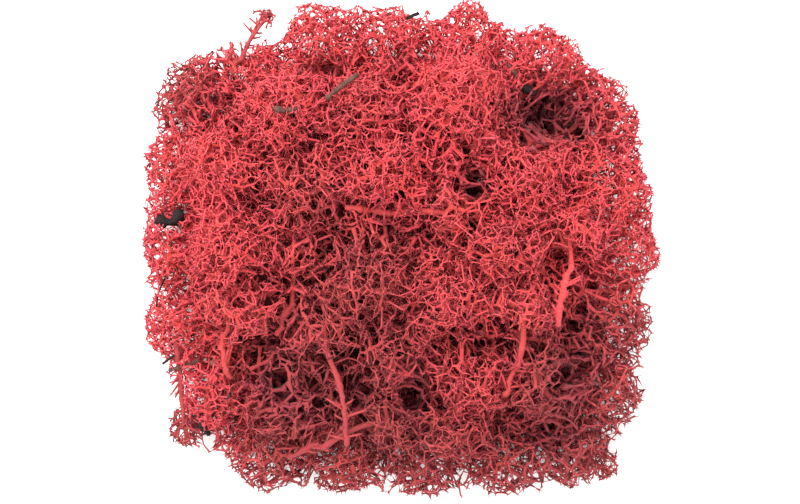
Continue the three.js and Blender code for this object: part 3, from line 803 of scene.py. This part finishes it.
def side_shoots(skin, line, radius, longest, inside, random):
    """Little branches along a bare stem, one for every SHOOT_EVERY millimetres.

    They leave to the left and right of the stem, leaning forwards and a little up. Most are short: the
    length is the stem's radius plus 0.8 plus longest times the square of a number between 0 and 1.
    """
    count = int(np.linalg.norm(np.diff(line, axis=0), axis=1).sum() / SHOOT_EVERY)
    t = random.uniform(0.05, 1.0, count)
    base = along_line(line, t)
    run = unit(along_line(line, np.minimum(t + 0.1, 1)) - along_line(line, np.maximum(t - 0.1, 0)))
    left_or_right = random.choice([-1, 1], (count, 1))
    side = unit(np.cross(run, UP)) * left_or_right * random.uniform(0.4, 1, (count, 1))
    forwards, upwards = random.uniform(0.1, 1.1, (count, 1)), random.uniform(-0.2, 0.5, (count, 1))
    way = unit(side + forwards * run + upwards * UP)
    length = radius + 0.8 + longest * random.random(count) ** 2
    u, v = square_to(way)
    inside = np.repeat(inside, count, axis=0)
    begin = skin.add(ring(base, np.full(count, 0.6 * radius), u, v, 3), SHOOT_REACH, inside)
    skin.fan(begin[:, ::-1], skin.add((base - 0.3 * radius * way)[:, None], SHOOT_REACH, inside))
    fan_out = unit(way[:, None] + random.normal(0, 0.75, (count, 3, 3)))
    own_rays = SHOOT_RAY * random.uniform(0.6, 1.2, (count, 3, 1)) * fan_out
    star_skin(skin, begin, base, base + length[:, None] * way, own_rays, inside, random)


ground_radius = STAR_RADIUS * (1 + STOUT_STAR + STOUT_GROUND)
print(f"star radius {STAR_RADIUS} mm in the light and {ground_radius:.2f} mm in the ground")

# %% [markdown]
# ## Branches
#
# The branches get thinner from the trunk to the stars, and are a little knobbly, as on the real thing,
# where each is a hollow, dented tube. None is quite straight: a trunk sways along its stem's line, and an
# arm bows out. A foot that stands on the floor is flat and flared. Any other ends in a blunt point.

# %% Branches
RING_SIDES = [8, 6, 6, 6, 4, 4, 4] + [3] * 8
RINGS_ON_THE_WAY = [14, 4, 2, 1] + [0] * 11
TWIG_RADIUS = 0.22
THICKENING = 0.34
TRUNK_RADIUS = 0.85
FLARE = 2.2
BLUNT = 0.6
BOW = 0.05
SWAY = 0.35
WOBBLE = 0.15


def arm_corners(level):
    """How many corners the ring has on which an arm starts."""
    return 3 if RING_SIDES[level] == 3 else RING_SIDES[level] // 2 + 1


def branch_radii(rounds):
    """The radius of the branches of each round, with n rounds in all.

    In round r it is TWIG_RADIUS * 2 ** (THICKENING * (n - 1 - r)), but not over TRUNK_RADIUS * 0.94 ** r.
    """
    grown = [TWIG_RADIUS * 2 ** (THICKENING * (rounds - 1 - level)) for level in range(rounds)]
    return [min(radius, TRUNK_RADIUS * 0.94**level) for level, radius in enumerate(grown)]


def foot_ring(skin, stem, radius, inside):
    """The first ring, closed below: flat and flared on the floor, or else bluntly pointed."""
    standing = stem[0, 2] < FLOOR_LEVEL
    way = UP[None] if standing else unit(stem[1:2] - stem[:1])
    radius = radius * (FLARE if standing else 1.0)
    u, v = square_to(way)
    start = skin.add(ring(stem[:1], np.array([radius]), u, v, RING_SIDES[0]), 0.0, inside)
    below = stem[:1] - (0.0 if standing else BLUNT) * radius * way
    skin.fan(start[:, ::-1], skin.add(below[:, None], 0.0, inside))
    return start


def centres_between(level, stem, base, end, way, random):
    """The middles of the rings on the way, a list of (t, centres).

    A trunk follows its stem's line and sways to one side by sin(9 t), and each ring of it wobbles. An
    arm bows out by sin(pi t) times BOW of its length.
    """
    bow = BOW * np.linalg.norm(end - base, axis=1, keepdims=True) * random.normal(0, 1, end.shape)
    bow -= (bow * way).sum(axis=1, keepdims=True) * way
    sway = SWAY * random.normal(0, 1, (1, 3)) * [1.0, 1.0, 0.5]
    centres = []
    for step in range(1, RINGS_ON_THE_WAY[level] + 1):
        t = step / (RINGS_ON_THE_WAY[level] + 1)
        if level == 0:
            wobble = WOBBLE * random.normal(0, 1, (1, 3))
            centres.append((t, along_line(stem, t) + sway * math.sin(9 * t) + wobble))
        else:
            centres.append((t, base + t * (end - base) + math.sin(math.pi * t) * bow))
    return centres


print("radius by round in a tuft of ten rounds", [round(radius, 2) for radius in branch_radii(10)])

# %% [markdown]
# A branch is a wall of strips from its first ring, through the rings on the way, to its fork. At the
# fork its ring is turned so that its two halves face the two arms.

# %% One round of branches
def branches_skin(skin, level, rounds, stem, base, end, arms, wall, inside, random):
    """All branches of one round, from base to their forks at end. Gives the rings on which the arms start.

    wall holds the rings on which the branches start, and arms where their two arms will end. Between
    two rings the radius changes evenly from that of the round before to the round's own.
    """
    radii = branch_radii(rounds)
    thick, thin = radii[max(level - 1, 0)], radii[level]
    way, across = unit(end - base), arms[:, 0] - arms[:, 1]
    u = unit(across - (across * way).sum(axis=1, keepdims=True) * way)
    v = np.cross(way, u)
    stout = 1 + (STOUT_INSIDE if level > 4 else 0.0) * inside[:, 0]
    stout = stout * (1 + KNOBBLE * random.normal(0, 1, len(end)))
    for t, centre in centres_between(level, stem, base, end, way, random):
        knob = 1 + (2.0 if level == 0 else 1.0) * KNOBBLE * random.normal(0, 1, len(end))
        corners = ring(centre, (thick + t * (thin - thick)) * stout * knob, u, v, RING_SIDES[level])
        further = skin.add(corners, (level + t) / (rounds + 1), inside)
        skin.strip(wall, further, way)
        wall = further
    size, reach = thin * stout, (level + 1) / (rounds + 1)
    top = skin.add(ring(end, size, u, v, RING_SIDES[level]), reach, inside)
    skin.strip(wall, top, way)
    saddle = skin.add((end + SADDLE * size[:, None] * way)[:, None], reach, inside)
    return skin.fork(top, saddle)


print("rings on the way by round", RINGS_ON_THE_WAY)

# %% [markdown]
# ## A whole tuft
#
# The skin is made round by round, for all branches of a round at once. Arms that are dead are closed off
# at the fork. Where only one arm of a fork is alive, the fork is skipped and the branch goes straight on,
# unless the next ring has another number of corners. The stars of three rays and of four come last.

# %% A whole tuft
LONGEST_SHOOT = 5.0
LONGEST_ON_SPRAY = 3.0


def tuft_skin(stem, joints, alive, shades, number, bare, random):
    """One closed surface over a tuft, with side shoots along the bare lines."""
    rounds, skin = len(joints) - 1, Skin()
    trunk = branch_radii(rounds)[0]
    start, begin = foot_ring(skin, stem, trunk, shades[0]), stem[:1]
    for level in range(rounds):
        kids = alive[level + 1].reshape(-1, 2)
        forks = kids.all(axis=1)
        passed = kids.any(axis=1) & ~forks
        if level == 0 or arm_corners(level) != arm_corners(level - 1):
            forks, passed = forks | passed, np.zeros_like(passed)
        next_start = np.zeros((2 * len(forks), arm_corners(level)), int)
        next_begin = np.repeat(joints[level], 2, axis=0)
        if passed.any():
            to = np.repeat(passed, 2) & alive[level + 1]
            next_start[to], next_begin[to] = start[passed], begin[passed]
        parent = np.repeat(forks, 2)
        next_start[parent] = branches_skin(
            skin, level, rounds, stem, base=begin[forks], end=joints[level][forks],
            arms=joints[level + 1].reshape(-1, 2, 3)[forks], wall=start[forks],
            inside=shades[level][forks], random=random,
        )
        skin.close(next_start[parent & ~alive[level + 1]])
        start, begin = next_start, next_begin

    for count in (3, 4):
        some = alive[rounds] & (ray_count[number] == count)
        middle, own_rays = joints[rounds][some], rays[number[some], :count]
        star_skin(skin, start[some], begin[some], middle, own_rays, shades[rounds][some], random)
    longest = LONGEST_SHOOT if len(bare) == 1 else LONGEST_ON_SPRAY
    for line in bare:
        side_shoots(skin, line, trunk, longest, shades[0] * [0.0, 1.0], random)
    return skin.whole()


print("stars with 3 and with 4 rays:", *np.bincount(ray_count)[3:])

# %% [markdown]
# ## Surfaces
#
# The materials are built from a few kinds of nodes, again and again. A small helper for each kind makes
# the node, links or sets its inputs and gives its output, so that a material reads like a calculation.

# %% Nodes as helpers
def blended(tree, share, one, other):
    """A Mix node's colour: one where share is 0, other where it is 1. Each is a socket or a plain colour."""
    node = tree.nodes.new("ShaderNodeMix")
    node.data_type = "RGBA"
    tree.links.new(share, node.inputs[0])
    for socket, value in ((node.inputs[6], one), (node.inputs[7], other)):
        if isinstance(value, tuple):
            socket.default_value = (*value, 1.0)
        else:
            tree.links.new(value, socket)
    return node.outputs[2]


def calculated(tree, operation, one, other):
    """A Math node's value. Each input is a socket or a plain number."""
    node = tree.nodes.new("ShaderNodeMath")
    node.operation = operation
    for socket, value in zip(node.inputs, (one, other)):
        if isinstance(value, float):
            socket.default_value = value
        else:
            tree.links.new(value, socket)
    return node.outputs[0]


def stretched(tree, value, low, high, out_low, out_high):
    """A Map Range node's value: from low to high the value goes from out_low to out_high."""
    node = tree.nodes.new("ShaderNodeMapRange")
    tree.links.new(value, node.inputs["Value"])
    for name, number in zip(("From Min", "From Max", "To Min", "To Max"), (low, high, out_low, out_high)):
        node.inputs[name].default_value = number
    return node.outputs["Result"]


print("helpers:", ", ".join(helper.__name__ for helper in (blended, calculated, stretched)))

# %% [markdown]
# ## Weathering
#
# Every surface of the clump is weathered, so the weathering is one node group, built once. Two noises of
# different size give patches and specks. The patches pull the colour towards a second one and the
# specks towards a third, and the group also puts out a roughness and a normal. Noise in Object
# coordinates needs no UV map, which suits branches by the thousand.

# %% Weathering
RELIEF_HEIGHT = 0.15 * MM


def weathering_group():
    """A node group from three colours and five numbers to a colour, a roughness and a normal.

    The sizes are in millimetres. Object coordinates are in metres, so a noise's scale is 1 / MM / size.
    """
    tree = bpy.data.node_groups.new("weathering", "ShaderNodeTree")
    for name in ("Colour", "Patch Colour", "Speck Colour"):
        tree.interface.new_socket(name, in_out="INPUT", socket_type="NodeSocketColor")
    numbers = {"Patch Size": 4.0, "Speck Size": 0.6, "Patchiness": 0.5, "Roughness": 0.8, "Relief": 0.3}
    for name, value in numbers.items():
        tree.interface.new_socket(name, in_out="INPUT", socket_type="NodeSocketFloat").default_value = value
    for name, kind in (("Colour", "Color"), ("Roughness", "Float"), ("Normal", "Vector")):
        tree.interface.new_socket(name, in_out="OUTPUT", socket_type="NodeSocket" + kind)
    given, put_out = tree.nodes.new("NodeGroupInput").outputs, tree.nodes.new("NodeGroupOutput").inputs
    where = tree.nodes.new("ShaderNodeTexCoord").outputs["Object"]
    noises = []
    for size, detail in (("Patch Size", 2.0), ("Speck Size", 3.0)):
        noise = tree.nodes.new("ShaderNodeTexNoise")
        noise.inputs["Detail"].default_value = detail
        tree.links.new(where, noise.inputs["Vector"])
        tree.links.new(calculated(tree, "DIVIDE", 1 / MM, given[size]), noise.inputs["Scale"])
        noises.append(noise.outputs["Fac"])
    patches, specks = noises
    patched, specked = [
        calculated(tree, "MULTIPLY", stretched(tree, noise, low, high, 0.0, 1.0), given["Patchiness"])
        for noise, low, high in ((patches, 0.38, 0.68), (specks, 0.52, 0.78))
    ]
    colour = blended(tree, patched, given["Colour"], given["Patch Colour"])
    tree.links.new(blended(tree, specked, colour, given["Speck Colour"]), put_out["Colour"])
    rough = calculated(tree, "MULTIPLY", stretched(tree, specks, 0.3, 0.7, 0.85, 1.12), given["Roughness"])
    tree.links.new(rough, put_out["Roughness"])
    relief = tree.nodes.new("ShaderNodeBump")
    relief.inputs["Distance"].default_value = RELIEF_HEIGHT
    tree.links.new(given["Relief"], relief.inputs["Strength"])
    tree.links.new(specks, relief.inputs["Height"])
    tree.links.new(relief.outputs["Normal"], put_out["Normal"])
    return tree


WEATHERING = weathering_group()
print("weathering group,", len(WEATHERING.nodes), "nodes")

# %% [markdown]
# ## Lichen and bark
#
# Bark takes the weathering as it is: dark wood, paler where it is scuffed. Lichen adds masks of its own,
# which are read from three attributes of the mesh. reach runs from stem to tip, where the colour goes
# from orange red to pink. age draws it towards a dusty maroon, which is partly the real colour of old
# tufts and partly painted shade. depth is painted shade: it draws the colour towards a colour in shade,
# which in old lichen is darker and in fresh lichen a brighter red, painted light that lifts the shaded
# strands. The specks are a paler bloom, and the patches darker dye.

# %% Materials
DULL = 0.2
SHEEN = 0.05
# hue, saturation and value of a shifted colour, where a hue of 0.5 is no shift
PALER_BLOOM = ("Speck Colour", 0.5, 0.86, 1.12)
DARKER_DYE = ("Patch Colour", 0.492, 1.0, 0.82)


def weathered(name, colour, patch, speck, **numbers):
    """A material with the weathering group on its Principled shader, and the group's node."""
    material = bpy.data.materials.new(name)
    material.use_nodes = True
    tree = material.node_tree
    shader = tree.nodes["Principled BSDF"]
    node = tree.nodes.new("ShaderNodeGroup")
    node.node_tree = WEATHERING
    for socket, value in (("Colour", colour), ("Patch Colour", patch), ("Speck Colour", speck)):
        node.inputs[socket].default_value = (*value, 1.0)
    for socket, value in numbers.items():
        node.inputs[socket.replace("_", " ")].default_value = value
    for output, socket in (("Colour", "Base Color"), ("Roughness", "Roughness"), ("Normal", "Normal")):
        tree.links.new(node.outputs[output], shader.inputs[socket])
    shader.inputs["Specular IOR Level"].default_value = DULL
    return material, node


def lichen_material(name, stem, branch, twig, tip, fresh_colour_in_shade, old_and_shaded, old_colour_in_shade, **numbers):
    """Lichen from stem to tip. The depth mask, painted shade, draws it to the fresh colour in shade, the age
    mask, partly painted shade, to the old colour, and both together to the old colour in shade.
    """
    material, node = weathered(name, tip, tip, tip, **numbers)
    tree = material.node_tree
    masks = {}
    for mask in ("reach", "depth", "age_and_shade"):
        reader = tree.nodes.new("ShaderNodeAttribute")
        reader.attribute_name = mask
        masks[mask] = reader.outputs["Fac"]
    ramp = tree.nodes.new("ShaderNodeValToRGB")
    tree.links.new(masks["reach"], ramp.inputs["Fac"])
    stops = ramp.color_ramp.elements
    stops[0].color, stops[1].color = (*stem, 1.0), (*tip, 1.0)
    for position, colour in ((0.35, branch), (0.75, twig)):
        stops.new(position).color = (*colour, 1.0)
    # Painted shade: depth draws fresh lichen to its colour in shade and old lichen to the old colour in shade,
    # and the age mask, partly painted shade, draws from fresh to old.
    fresh = blended(tree, masks["depth"], ramp.outputs["Color"], fresh_colour_in_shade)
    old = blended(tree, masks["depth"], old_and_shaded, old_colour_in_shade)
    colour = blended(tree, masks["age_and_shade"], fresh, old)
    tree.links.new(colour, node.inputs["Colour"])
    for socket, hue, saturation, value in (PALER_BLOOM, DARKER_DYE):
        shifted = tree.nodes.new("ShaderNodeHueSaturation")
        for name, number in (("Hue", hue), ("Saturation", saturation), ("Value", value)):
            shifted.inputs[name].default_value = number
        tree.links.new(colour, shifted.inputs["Color"])
        tree.links.new(shifted.outputs["Color"], node.inputs[socket])
    tree.nodes["Principled BSDF"].inputs["Sheen Weight"].default_value = SHEEN
    return material


print("specular level", DULL, "sheen", SHEEN)

# %% [markdown]
# There are four finishes. The dyed lichen is all that one sees from above. In it the tips, which catch
# the most light, are painted a little darker than the twigs, and the colour in shade is a brighter red:
# painted shade on the lit tips and painted light in the shade, which even out the light. The base tufts,
# which the others stand on, took less dye and stayed brown and dark, and in shade they are painted darker
# still: painted shade. The twigs are brown, the rest is almost black.

# %% Four finishes
dyed_lichen = lichen_material(
    "dyed lichen", stem=(0.44, 0.058, 0.043), branch=(0.66, 0.062, 0.048), twig=(0.69, 0.053, 0.059),
    tip=(0.64, 0.064, 0.071), fresh_colour_in_shade=(0.70, 0.042, 0.050), old_and_shaded=(0.31, 0.038, 0.038),
    old_colour_in_shade=(0.22, 0.022, 0.030),
    Patch_Size=9.0, Speck_Size=0.9, Patchiness=0.6, Roughness=0.75, Relief=0.5,
)
old_lichen = lichen_material(
    "old lichen", stem=(0.22, 0.10, 0.06), branch=(0.34, 0.06, 0.05), twig=(0.58, 0.052, 0.058),
    tip=(0.68, 0.060, 0.070), fresh_colour_in_shade=(0.20, 0.016, 0.020), old_and_shaded=(0.38, 0.056, 0.056),
    old_colour_in_shade=(0.08, 0.010, 0.012),
    Patch_Size=6.0, Speck_Size=0.9, Patchiness=0.8, Roughness=0.85, Relief=0.6,
)
twig_bark, _ = weathered(
    "twig bark", (0.11, 0.044, 0.034), (0.045, 0.018, 0.015), (0.21, 0.095, 0.070),
    Patch_Size=2.5, Speck_Size=0.45, Patchiness=0.9, Roughness=0.85, Relief=0.8,
)
black_bark, _ = weathered(
    "black bark", (0.014, 0.008, 0.009), (0.006, 0.004, 0.005), (0.045, 0.025, 0.024),
    Patch_Size=2.0, Speck_Size=0.5, Patchiness=0.9, Roughness=0.8, Relief=0.9,
)
finishes = (dyed_lichen, old_lichen, twig_bark, black_bark)
print("finishes:", ", ".join(material.name for material in finishes))

# %% [markdown]
# ## The tufts
#
# Now each tuft is grown and skinned, and stands for its solid. Each has a random generator of its own,
# so a change to one tuft leaves the others as they are. The clump lies on a table, so growth that would
# dip under it is pressed flat.

# %% Pieces from arrays
PRESSED = 0.3


def pressed(corners):
    """The corners with none under the floor. Soles stay at 0.

    Below the height PRESSED, z becomes PRESSED * exp(z / PRESSED - 1).
    """
    z = corners[:, 2]
    squeezed = PRESSED * np.exp(np.minimum(z / PRESSED, 1) - 1)
    return np.column_stack([corners[:, :2], np.where((z < PRESSED) & (np.abs(z) > 0.001), squeezed, z)])


def put_in_scene(name, data):
    """A new object in the scene, unturned and at the origin."""
    thing = bpy.data.objects.new(name, data)
    bpy.context.scene.collection.objects.link(thing)
    return thing


def make_mesh(name, corners, masks, faces, material):
    """A smooth piece from corners in millimetres and triangles. Each mask is a number for each corner."""
    corners = pressed(corners)
    mesh = bpy.data.meshes.new(name)
    mesh.vertices.add(len(corners))
    mesh.vertices.foreach_set("co", (corners * MM).astype(np.float32).ravel())
    mesh.loops.add(3 * len(faces))
    mesh.loops.foreach_set("vertex_index", faces.astype(np.int32).ravel())
    mesh.polygons.add(len(faces))
    mesh.polygons.foreach_set("loop_start", np.arange(0, 3 * len(faces), 3, dtype=np.int32))
    mesh.polygons.foreach_set("use_smooth", np.ones(len(faces), bool))
    mesh.update(calc_edges=True)
    for mask, values in masks.items():
        mesh.attributes.new(mask, "FLOAT", "POINT").data.foreach_set("value", values.astype(np.float32))
    mesh.materials.append(material)
    return put_in_scene(name, mesh)


print("growth under", PRESSED, "mm is pressed on to the table")

# %% [markdown]
# Two numbers shape a tuft: how far before its stars a fork lies, and how far it rises. They change with
# the tuft's age, and lying tufts have their own. A lying tuft also has side shoots along its bare stem,
# and a spray has them along its first arms too.

# %% Growing all tufts
FORK_BEFORE = 0.38
FORK_BEFORE_LYING = 0.12
RISE_OLD = 2.0
RISE_LYING = 4.0


def bare_lines(name, joints):
    """The lines along which a tuft has side shoots."""
    lines = [stems[name]] if name in LYING + SPRAYS else []
    if name in SPRAYS:
        for level in (0, 1):
            lines += [np.stack([joints[level][i // 2], arm]) for i, arm in enumerate(joints[level + 1])]
    return lines


triangles = {}
for index, name in enumerate(TUFTS):
    random = np.random.default_rng(index)
    before, rise = FORK_BEFORE * (1 - 0.75 * AGE_AND_SHADE[name]), RISE_OLD * AGE_AND_SHADE[name]
    if name in LYING:
        before, rise = FORK_BEFORE_LYING, RISE_LYING
    own = np.flatnonzero(star_owner == index)
    joints, alive, shades, number = grow(stems[name], own, before, rise, random)
    bare = bare_lines(name, joints)
    corners, reach, tint, faces = tuft_skin(stems[name], joints, alive, shades, number, bare, random)
    # The masks depth and age carry painted shade to the material, and age also the real age of the tufts.
    masks = {"reach": reach, "depth": tint[:, 0], "age_and_shade": tint[:, 1]}
    piece = make_mesh("grown_" + name, corners, masks, faces, old_lichen if name in BASES else dyed_lichen)
    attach(piece, "root")
    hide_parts(name)
    triangles[name] = len(faces)
largest = max(triangles, key=triangles.get)
print(sum(triangles.values()), "triangles, most in", largest, triangles[largest])

# %% [markdown]
# ## Litter
#
# Moss is raked up with what lies in it: bits of twig, pine needles, flakes of bark. Such a bit is a tube
# of many rings along the solid's line, whose width swells and shrinks from ring to ring and from side to
# side. Its ends are splintered, and a twig has bud stubs. A plain cylinder with a rough bump would look
# right from afar, but its outline would stay straight.

# %% A rod's line
RING_GAP = 0.45


def rod_line(node):
    """The middles of a rod's rings from end to end, its half width, and its height as a share of its width.

    Sorted along the direction in which the rod is longest, a new ring starts after a gap over RING_GAP.
    """
    points, _ = merged(node)
    directions = np.linalg.eigh(np.cov((points - points.mean(axis=0)).T))[1]
    along = (points - points.mean(axis=0)) @ directions[:, 2]
    order = along.argsort()
    rings = np.split(order, np.flatnonzero(np.diff(along[order]) > RING_GAP) + 1)
    widest = points[max(rings, key=len)]
    half = np.linalg.norm(widest - widest.mean(axis=0), axis=1)
    return np.array([points[group].mean(axis=0) for group in rings]), half.max(), half.min() / half.max()


print("rings read from", LITTER[0] + ":", len(rod_line(nodes[LITTER[0]])[0]))

# %% [markdown]
# The numbers of the corners run ring by ring, so the wall is two triangles for each pair of neighbours on
# a ring and on the next. The two points that close the ends come after the wall, then the stubs, each
# with two rings, its tip and its root.

# %% A bit of litter
RING_STEP = 0.35
STUB_SIDES = 5
STUB_CORNERS = 2 * STUB_SIDES + 2


def rod_wall(line, half_width, flat, sides, rugged, random):
    """Rings of corners along the line, shaped (rings, sides, 3), with their middles, ways and directions.

    The half width is w * (0.86 + rugged * (0.08 a + 0.07 b + 0.025 c)), but not under 0.3 w, where a is
    a slow noise along the line, b a slow noise along each side, and c a fresh number for each corner.
    """
    count = max(int(np.linalg.norm(np.diff(line, axis=0), axis=1).sum() / RING_STEP), 6)
    t = np.linspace(0, 1, count)
    centre = along_line(line, t)
    way = unit(np.gradient(centre, axis=0))
    u = square_to(way[:1])[0]
    u = unit(u - (u * way).sum(axis=1, keepdims=True) * way)
    v = np.cross(way, u)
    swell = np.interp(t * 6, np.arange(8), random.normal(0, 1, 8))[:, None]
    slow_noises = [np.interp(t * 5, np.arange(7), random.normal(0, 1, 7)) for side in range(sides)]
    buckle = np.stack(slow_noises, axis=1)
    grain = random.normal(0, 1, buckle.shape)
    half = half_width * np.maximum(0.86 + rugged * (0.08 * swell + 0.07 * buckle + 0.025 * grain), 0.3)
    upright = np.abs(v[:, 2:]) > np.abs(u[:, 2:])
    wide, high = np.where(upright, 1.0, flat), np.where(upright, flat, 1.0)
    turn = np.arange(sides) * 2 * math.pi / sides
    cosine, sine = np.cos(turn)[None, :, None], np.sin(turn)[None, :, None]
    wheel = cosine * (wide * u)[:, None] + sine * (high * v)[:, None]
    return centre[:, None] + half[:, :, None] * wheel, centre, way, wheel


def stub(middle, side, half_width, first):
    """A bud stub that points to the side: a closed, tapered tube, whose corners' numbers start at first."""
    p, q = square_to(side[None])
    base = ring(middle[None], np.array([0.45 * half_width]), p, q, STUB_SIDES)[0]
    far = ring((middle + 1.7 * half_width * side)[None], np.array([0.34 * half_width]), p, q, STUB_SIDES)[0]
    k = first + np.arange(STUB_SIDES)
    m = np.roll(k, -1)
    far_k, far_m = k + STUB_SIDES, m + STUB_SIDES
    tip, root = np.full((2, STUB_SIDES), first + 2 * STUB_SIDES) + [[0], [1]]
    rows = ((k, m, far_m), (k, far_m, far_k), (far_k, far_m, tip), (m, k, root))
    corners = [base, far, (middle + 2.2 * half_width * side)[None], middle[None]]
    return corners, [np.stack(row, axis=1) for row in rows]


def rod_skin(line, half_width, flat, sides, rugged, splinter, stubs, random):
    """A closed tube along the line, its end corners moved along it by splinter, and its stubs."""
    corners, centre, way, wheel = rod_wall(line, half_width, flat, sides, rugged, random)
    for end, sign in ((0, -1.0), (-1, 1.0)):
        corners[end] += sign * splinter * half_width * random.uniform(-0.6, 0.9, (sides, 1)) * way[end]
    count = len(centre)
    numbers = np.arange(count * sides).reshape(count, sides)
    nexts = np.roll(numbers, -1, axis=1)
    a, b, c, d = numbers[:-1], nexts[:-1], nexts[1:], numbers[1:]
    faces = [np.stack([a, b, c], axis=2).reshape(-1, 3), np.stack([a, c, d], axis=2).reshape(-1, 3)]
    faces.append(np.stack([nexts[0], numbers[0], np.full(sides, count * sides)], axis=1))
    faces.append(np.stack([numbers[-1], nexts[-1], np.full(sides, count * sides + 1)], axis=1))
    inwards = 0.2 * half_width
    parts = [corners.reshape(-1, 3), centre[:1] + inwards * way[:1], centre[-1:] - inwards * way[-1:]]
    for i in range(stubs):
        row = int(random.uniform(0.25, 0.8) * count)
        side = unit(wheel[row, random.integers(sides)] + 0.8 * way[row])
        first = count * sides + 2 + STUB_CORNERS * i
        stub_corners, stub_faces = stub(centre[row], side, half_width, first)
        parts += stub_corners
        faces += stub_faces
    return np.concatenate(parts), np.concatenate(faces)


print("a stub has", STUB_SIDES * 4, "triangles")

# %% [markdown]
# The needles are thin and smooth. The bark is rough and black. The twigs are in between, and brown,
# but for the black one at the far edge.

# %% All litter
for index, name in enumerate(LITTER):
    random = np.random.default_rng(100 + index)
    line, half_width, flat = rod_line(nodes[name])
    kind = name.split("_")[0]
    black = kind != "twig" or name == "twig_north"
    finish = {
        "needle": dict(flat=1.0, sides=7, rugged=1.0, splinter=0.1, stubs=0),
        "twig": dict(flat=max(flat, 0.6), sides=12, rugged=1.0, splinter=0.6, stubs=2),
        "bark": dict(flat=max(flat, 0.6), sides=12, rugged=3.0, splinter=0.6, stubs=4),
    }[kind]
    corners, faces = rod_skin(line, half_width, random=random, **finish)
    piece = make_mesh("weathered_" + name, corners, {}, faces, black_bark if black else twig_bark)
    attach(piece, "root")
    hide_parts(name)
    print(f"{name}: {len(line)} rings read, half width {half_width:.2f} mm, {len(faces)} triangles")

# %% [markdown]
# ## Floor
#
# The clump lies on a plain white table. Under the clump the table is painted dark, a painted shadow, and
# seen through the holes of the net it keeps the inside dark. The painted shadow turns lighter and
# reddish, painted red light thrown back by the moss, and fades out well inside the rim, where white shows
# through the net. It has the clump's outline, which is between a circle and a square: the fourth root of
# the sum of the fourth powers of x and y is the same all round. A faint glow keeps the white as white as
# the sky.

# %% Floor
# metres from the middle, along x or y
# The painted shadow under the clump: where it starts to turn reddish and where it is fully so, where it starts
# to fade to white and where it is gone.
SHADOW_THINS, SHADOW_THIN = 0.050, 0.060
SHADOW_FADES, SHADOW_GONE = 0.058, 0.063
# A dark painted shadow, a lighter reddish painted shadow with painted red light from the moss, and the white
# of the table.
PAINTED_SHADOW, THIN_PAINTED_SHADOW, WHITE = (0.18, 0.022, 0.030), (0.42, 0.15, 0.16), (0.9, 0.9, 0.9)
GLOW = 0.12
TABLE_HALF = 3


def vector_math(tree, operation, *vectors):
    """A Vector Math node's outputs, with these sockets as its inputs."""
    node = tree.nodes.new("ShaderNodeVectorMath")
    node.operation = operation
    for socket, vector in zip(node.inputs, vectors):
        tree.links.new(vector, socket)
    return node.outputs


def white_with_painted_shadow():
    """The table's material: white, with a painted shadow under the clump. The length of (x * x, y * y) is the
    root of the sum of the fourth powers.
    """
    material = bpy.data.materials.new("white table")
    material.use_nodes = True
    tree = material.node_tree
    shader = tree.nodes["Principled BSDF"]
    where = tree.nodes.new("ShaderNodeTexCoord").outputs["Object"]
    squares = vector_math(tree, "MULTIPLY", where, where)["Vector"]
    length = vector_math(tree, "LENGTH", squares)["Value"]
    thin = stretched(tree, length, SHADOW_THINS**2, SHADOW_THIN**2, 0.0, 1.0)
    out_of_shadow = stretched(tree, length, SHADOW_FADES**2, SHADOW_GONE**2, 0.0, 1.0)
    colour = blended(tree, out_of_shadow, blended(tree, thin, PAINTED_SHADOW, THIN_PAINTED_SHADOW), WHITE)
    tree.links.new(colour, shader.inputs["Base Color"])
    tree.links.new(colour, shader.inputs["Emission Color"])
    shader.inputs["Emission Strength"].default_value = GLOW
    shader.inputs["Roughness"].default_value = 0.9
    return material


mesh = bpy.data.meshes.new("floor")
corners = [(x * TABLE_HALF, y * TABLE_HALF, 0) for x, y in ((-1, -1), (1, -1), (1, 1), (-1, 1))]
mesh.from_pydata(corners, [], [(0, 1, 2, 3)])
mesh.materials.append(white_with_painted_shadow())
floor = put_in_scene("floor", mesh)
floor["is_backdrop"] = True
print("floor", tuple(floor.dimensions))

# %% [markdown]
# ## Light and camera
#
# A net of thin strands wants soft light from all round, or it turns to black and white noise. So nearly
# all light is the white sky, and one large soft lamp at the upper left gives the domes a bright side.
# The camera looks straight down with a long lens, which keeps the near and far strands the same size.

# %% Light and camera
SKY_STRENGTH = 1.8
LAMP_WATTS = 12
LAMP_SIZE = 0.8
LAMP_PLACE = (-0.3, 0.5, 0.75)
LENS_LENGTH, SENSOR_WIDTH = 100, 36
CAMERA_HEIGHT = 0.692

world = bpy.data.worlds.new("studio")
bpy.context.scene.world = world
world.use_nodes = True
sky = world.node_tree.nodes["Background"]
sky.inputs["Color"].default_value = (1, 1, 1, 1)
sky.inputs["Strength"].default_value = SKY_STRENGTH

light = bpy.data.lights.new("soft box", "AREA")
light.energy = LAMP_WATTS
light.size = LAMP_SIZE
lamp = put_in_scene("soft box", light)
lamp.location = LAMP_PLACE
lamp.rotation_euler = mathutils.Vector(LAMP_PLACE).to_track_quat("Z", "Y").to_euler()

lens = bpy.data.cameras.new("camera")
lens.lens = LENS_LENGTH
lens.sensor_width = SENSOR_WIDTH
camera = put_in_scene("camera", lens)
camera.location = (0, 0, CAMERA_HEIGHT)
bpy.context.scene.camera = camera
bpy.context.scene.view_settings.view_transform = "Standard"
seen = CAMERA_HEIGHT * SENSOR_WIDTH / LENS_LENGTH
print(f"lamp {lamp.location.length:.2f} m away, camera {CAMERA_HEIGHT} m up, {seen:.3f} m of the table seen")

# %% [markdown]
# ## Sizes
#
# The grown clump is meant to stay in the box of the solids, give or take a few millimetres of fray. Both
# boxes are kept, and their sizes printed, so that they can be compared.

# %% Sizes
sizes = {"cad": [list(corner) for corner in solid_box], "visual": [list(corner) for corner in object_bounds()]}
for which, (lowest, highest_corner) in sizes.items():
    print(which, [round((b - a) / MM, 2) for a, b in zip(lowest, highest_corner)], "mm")
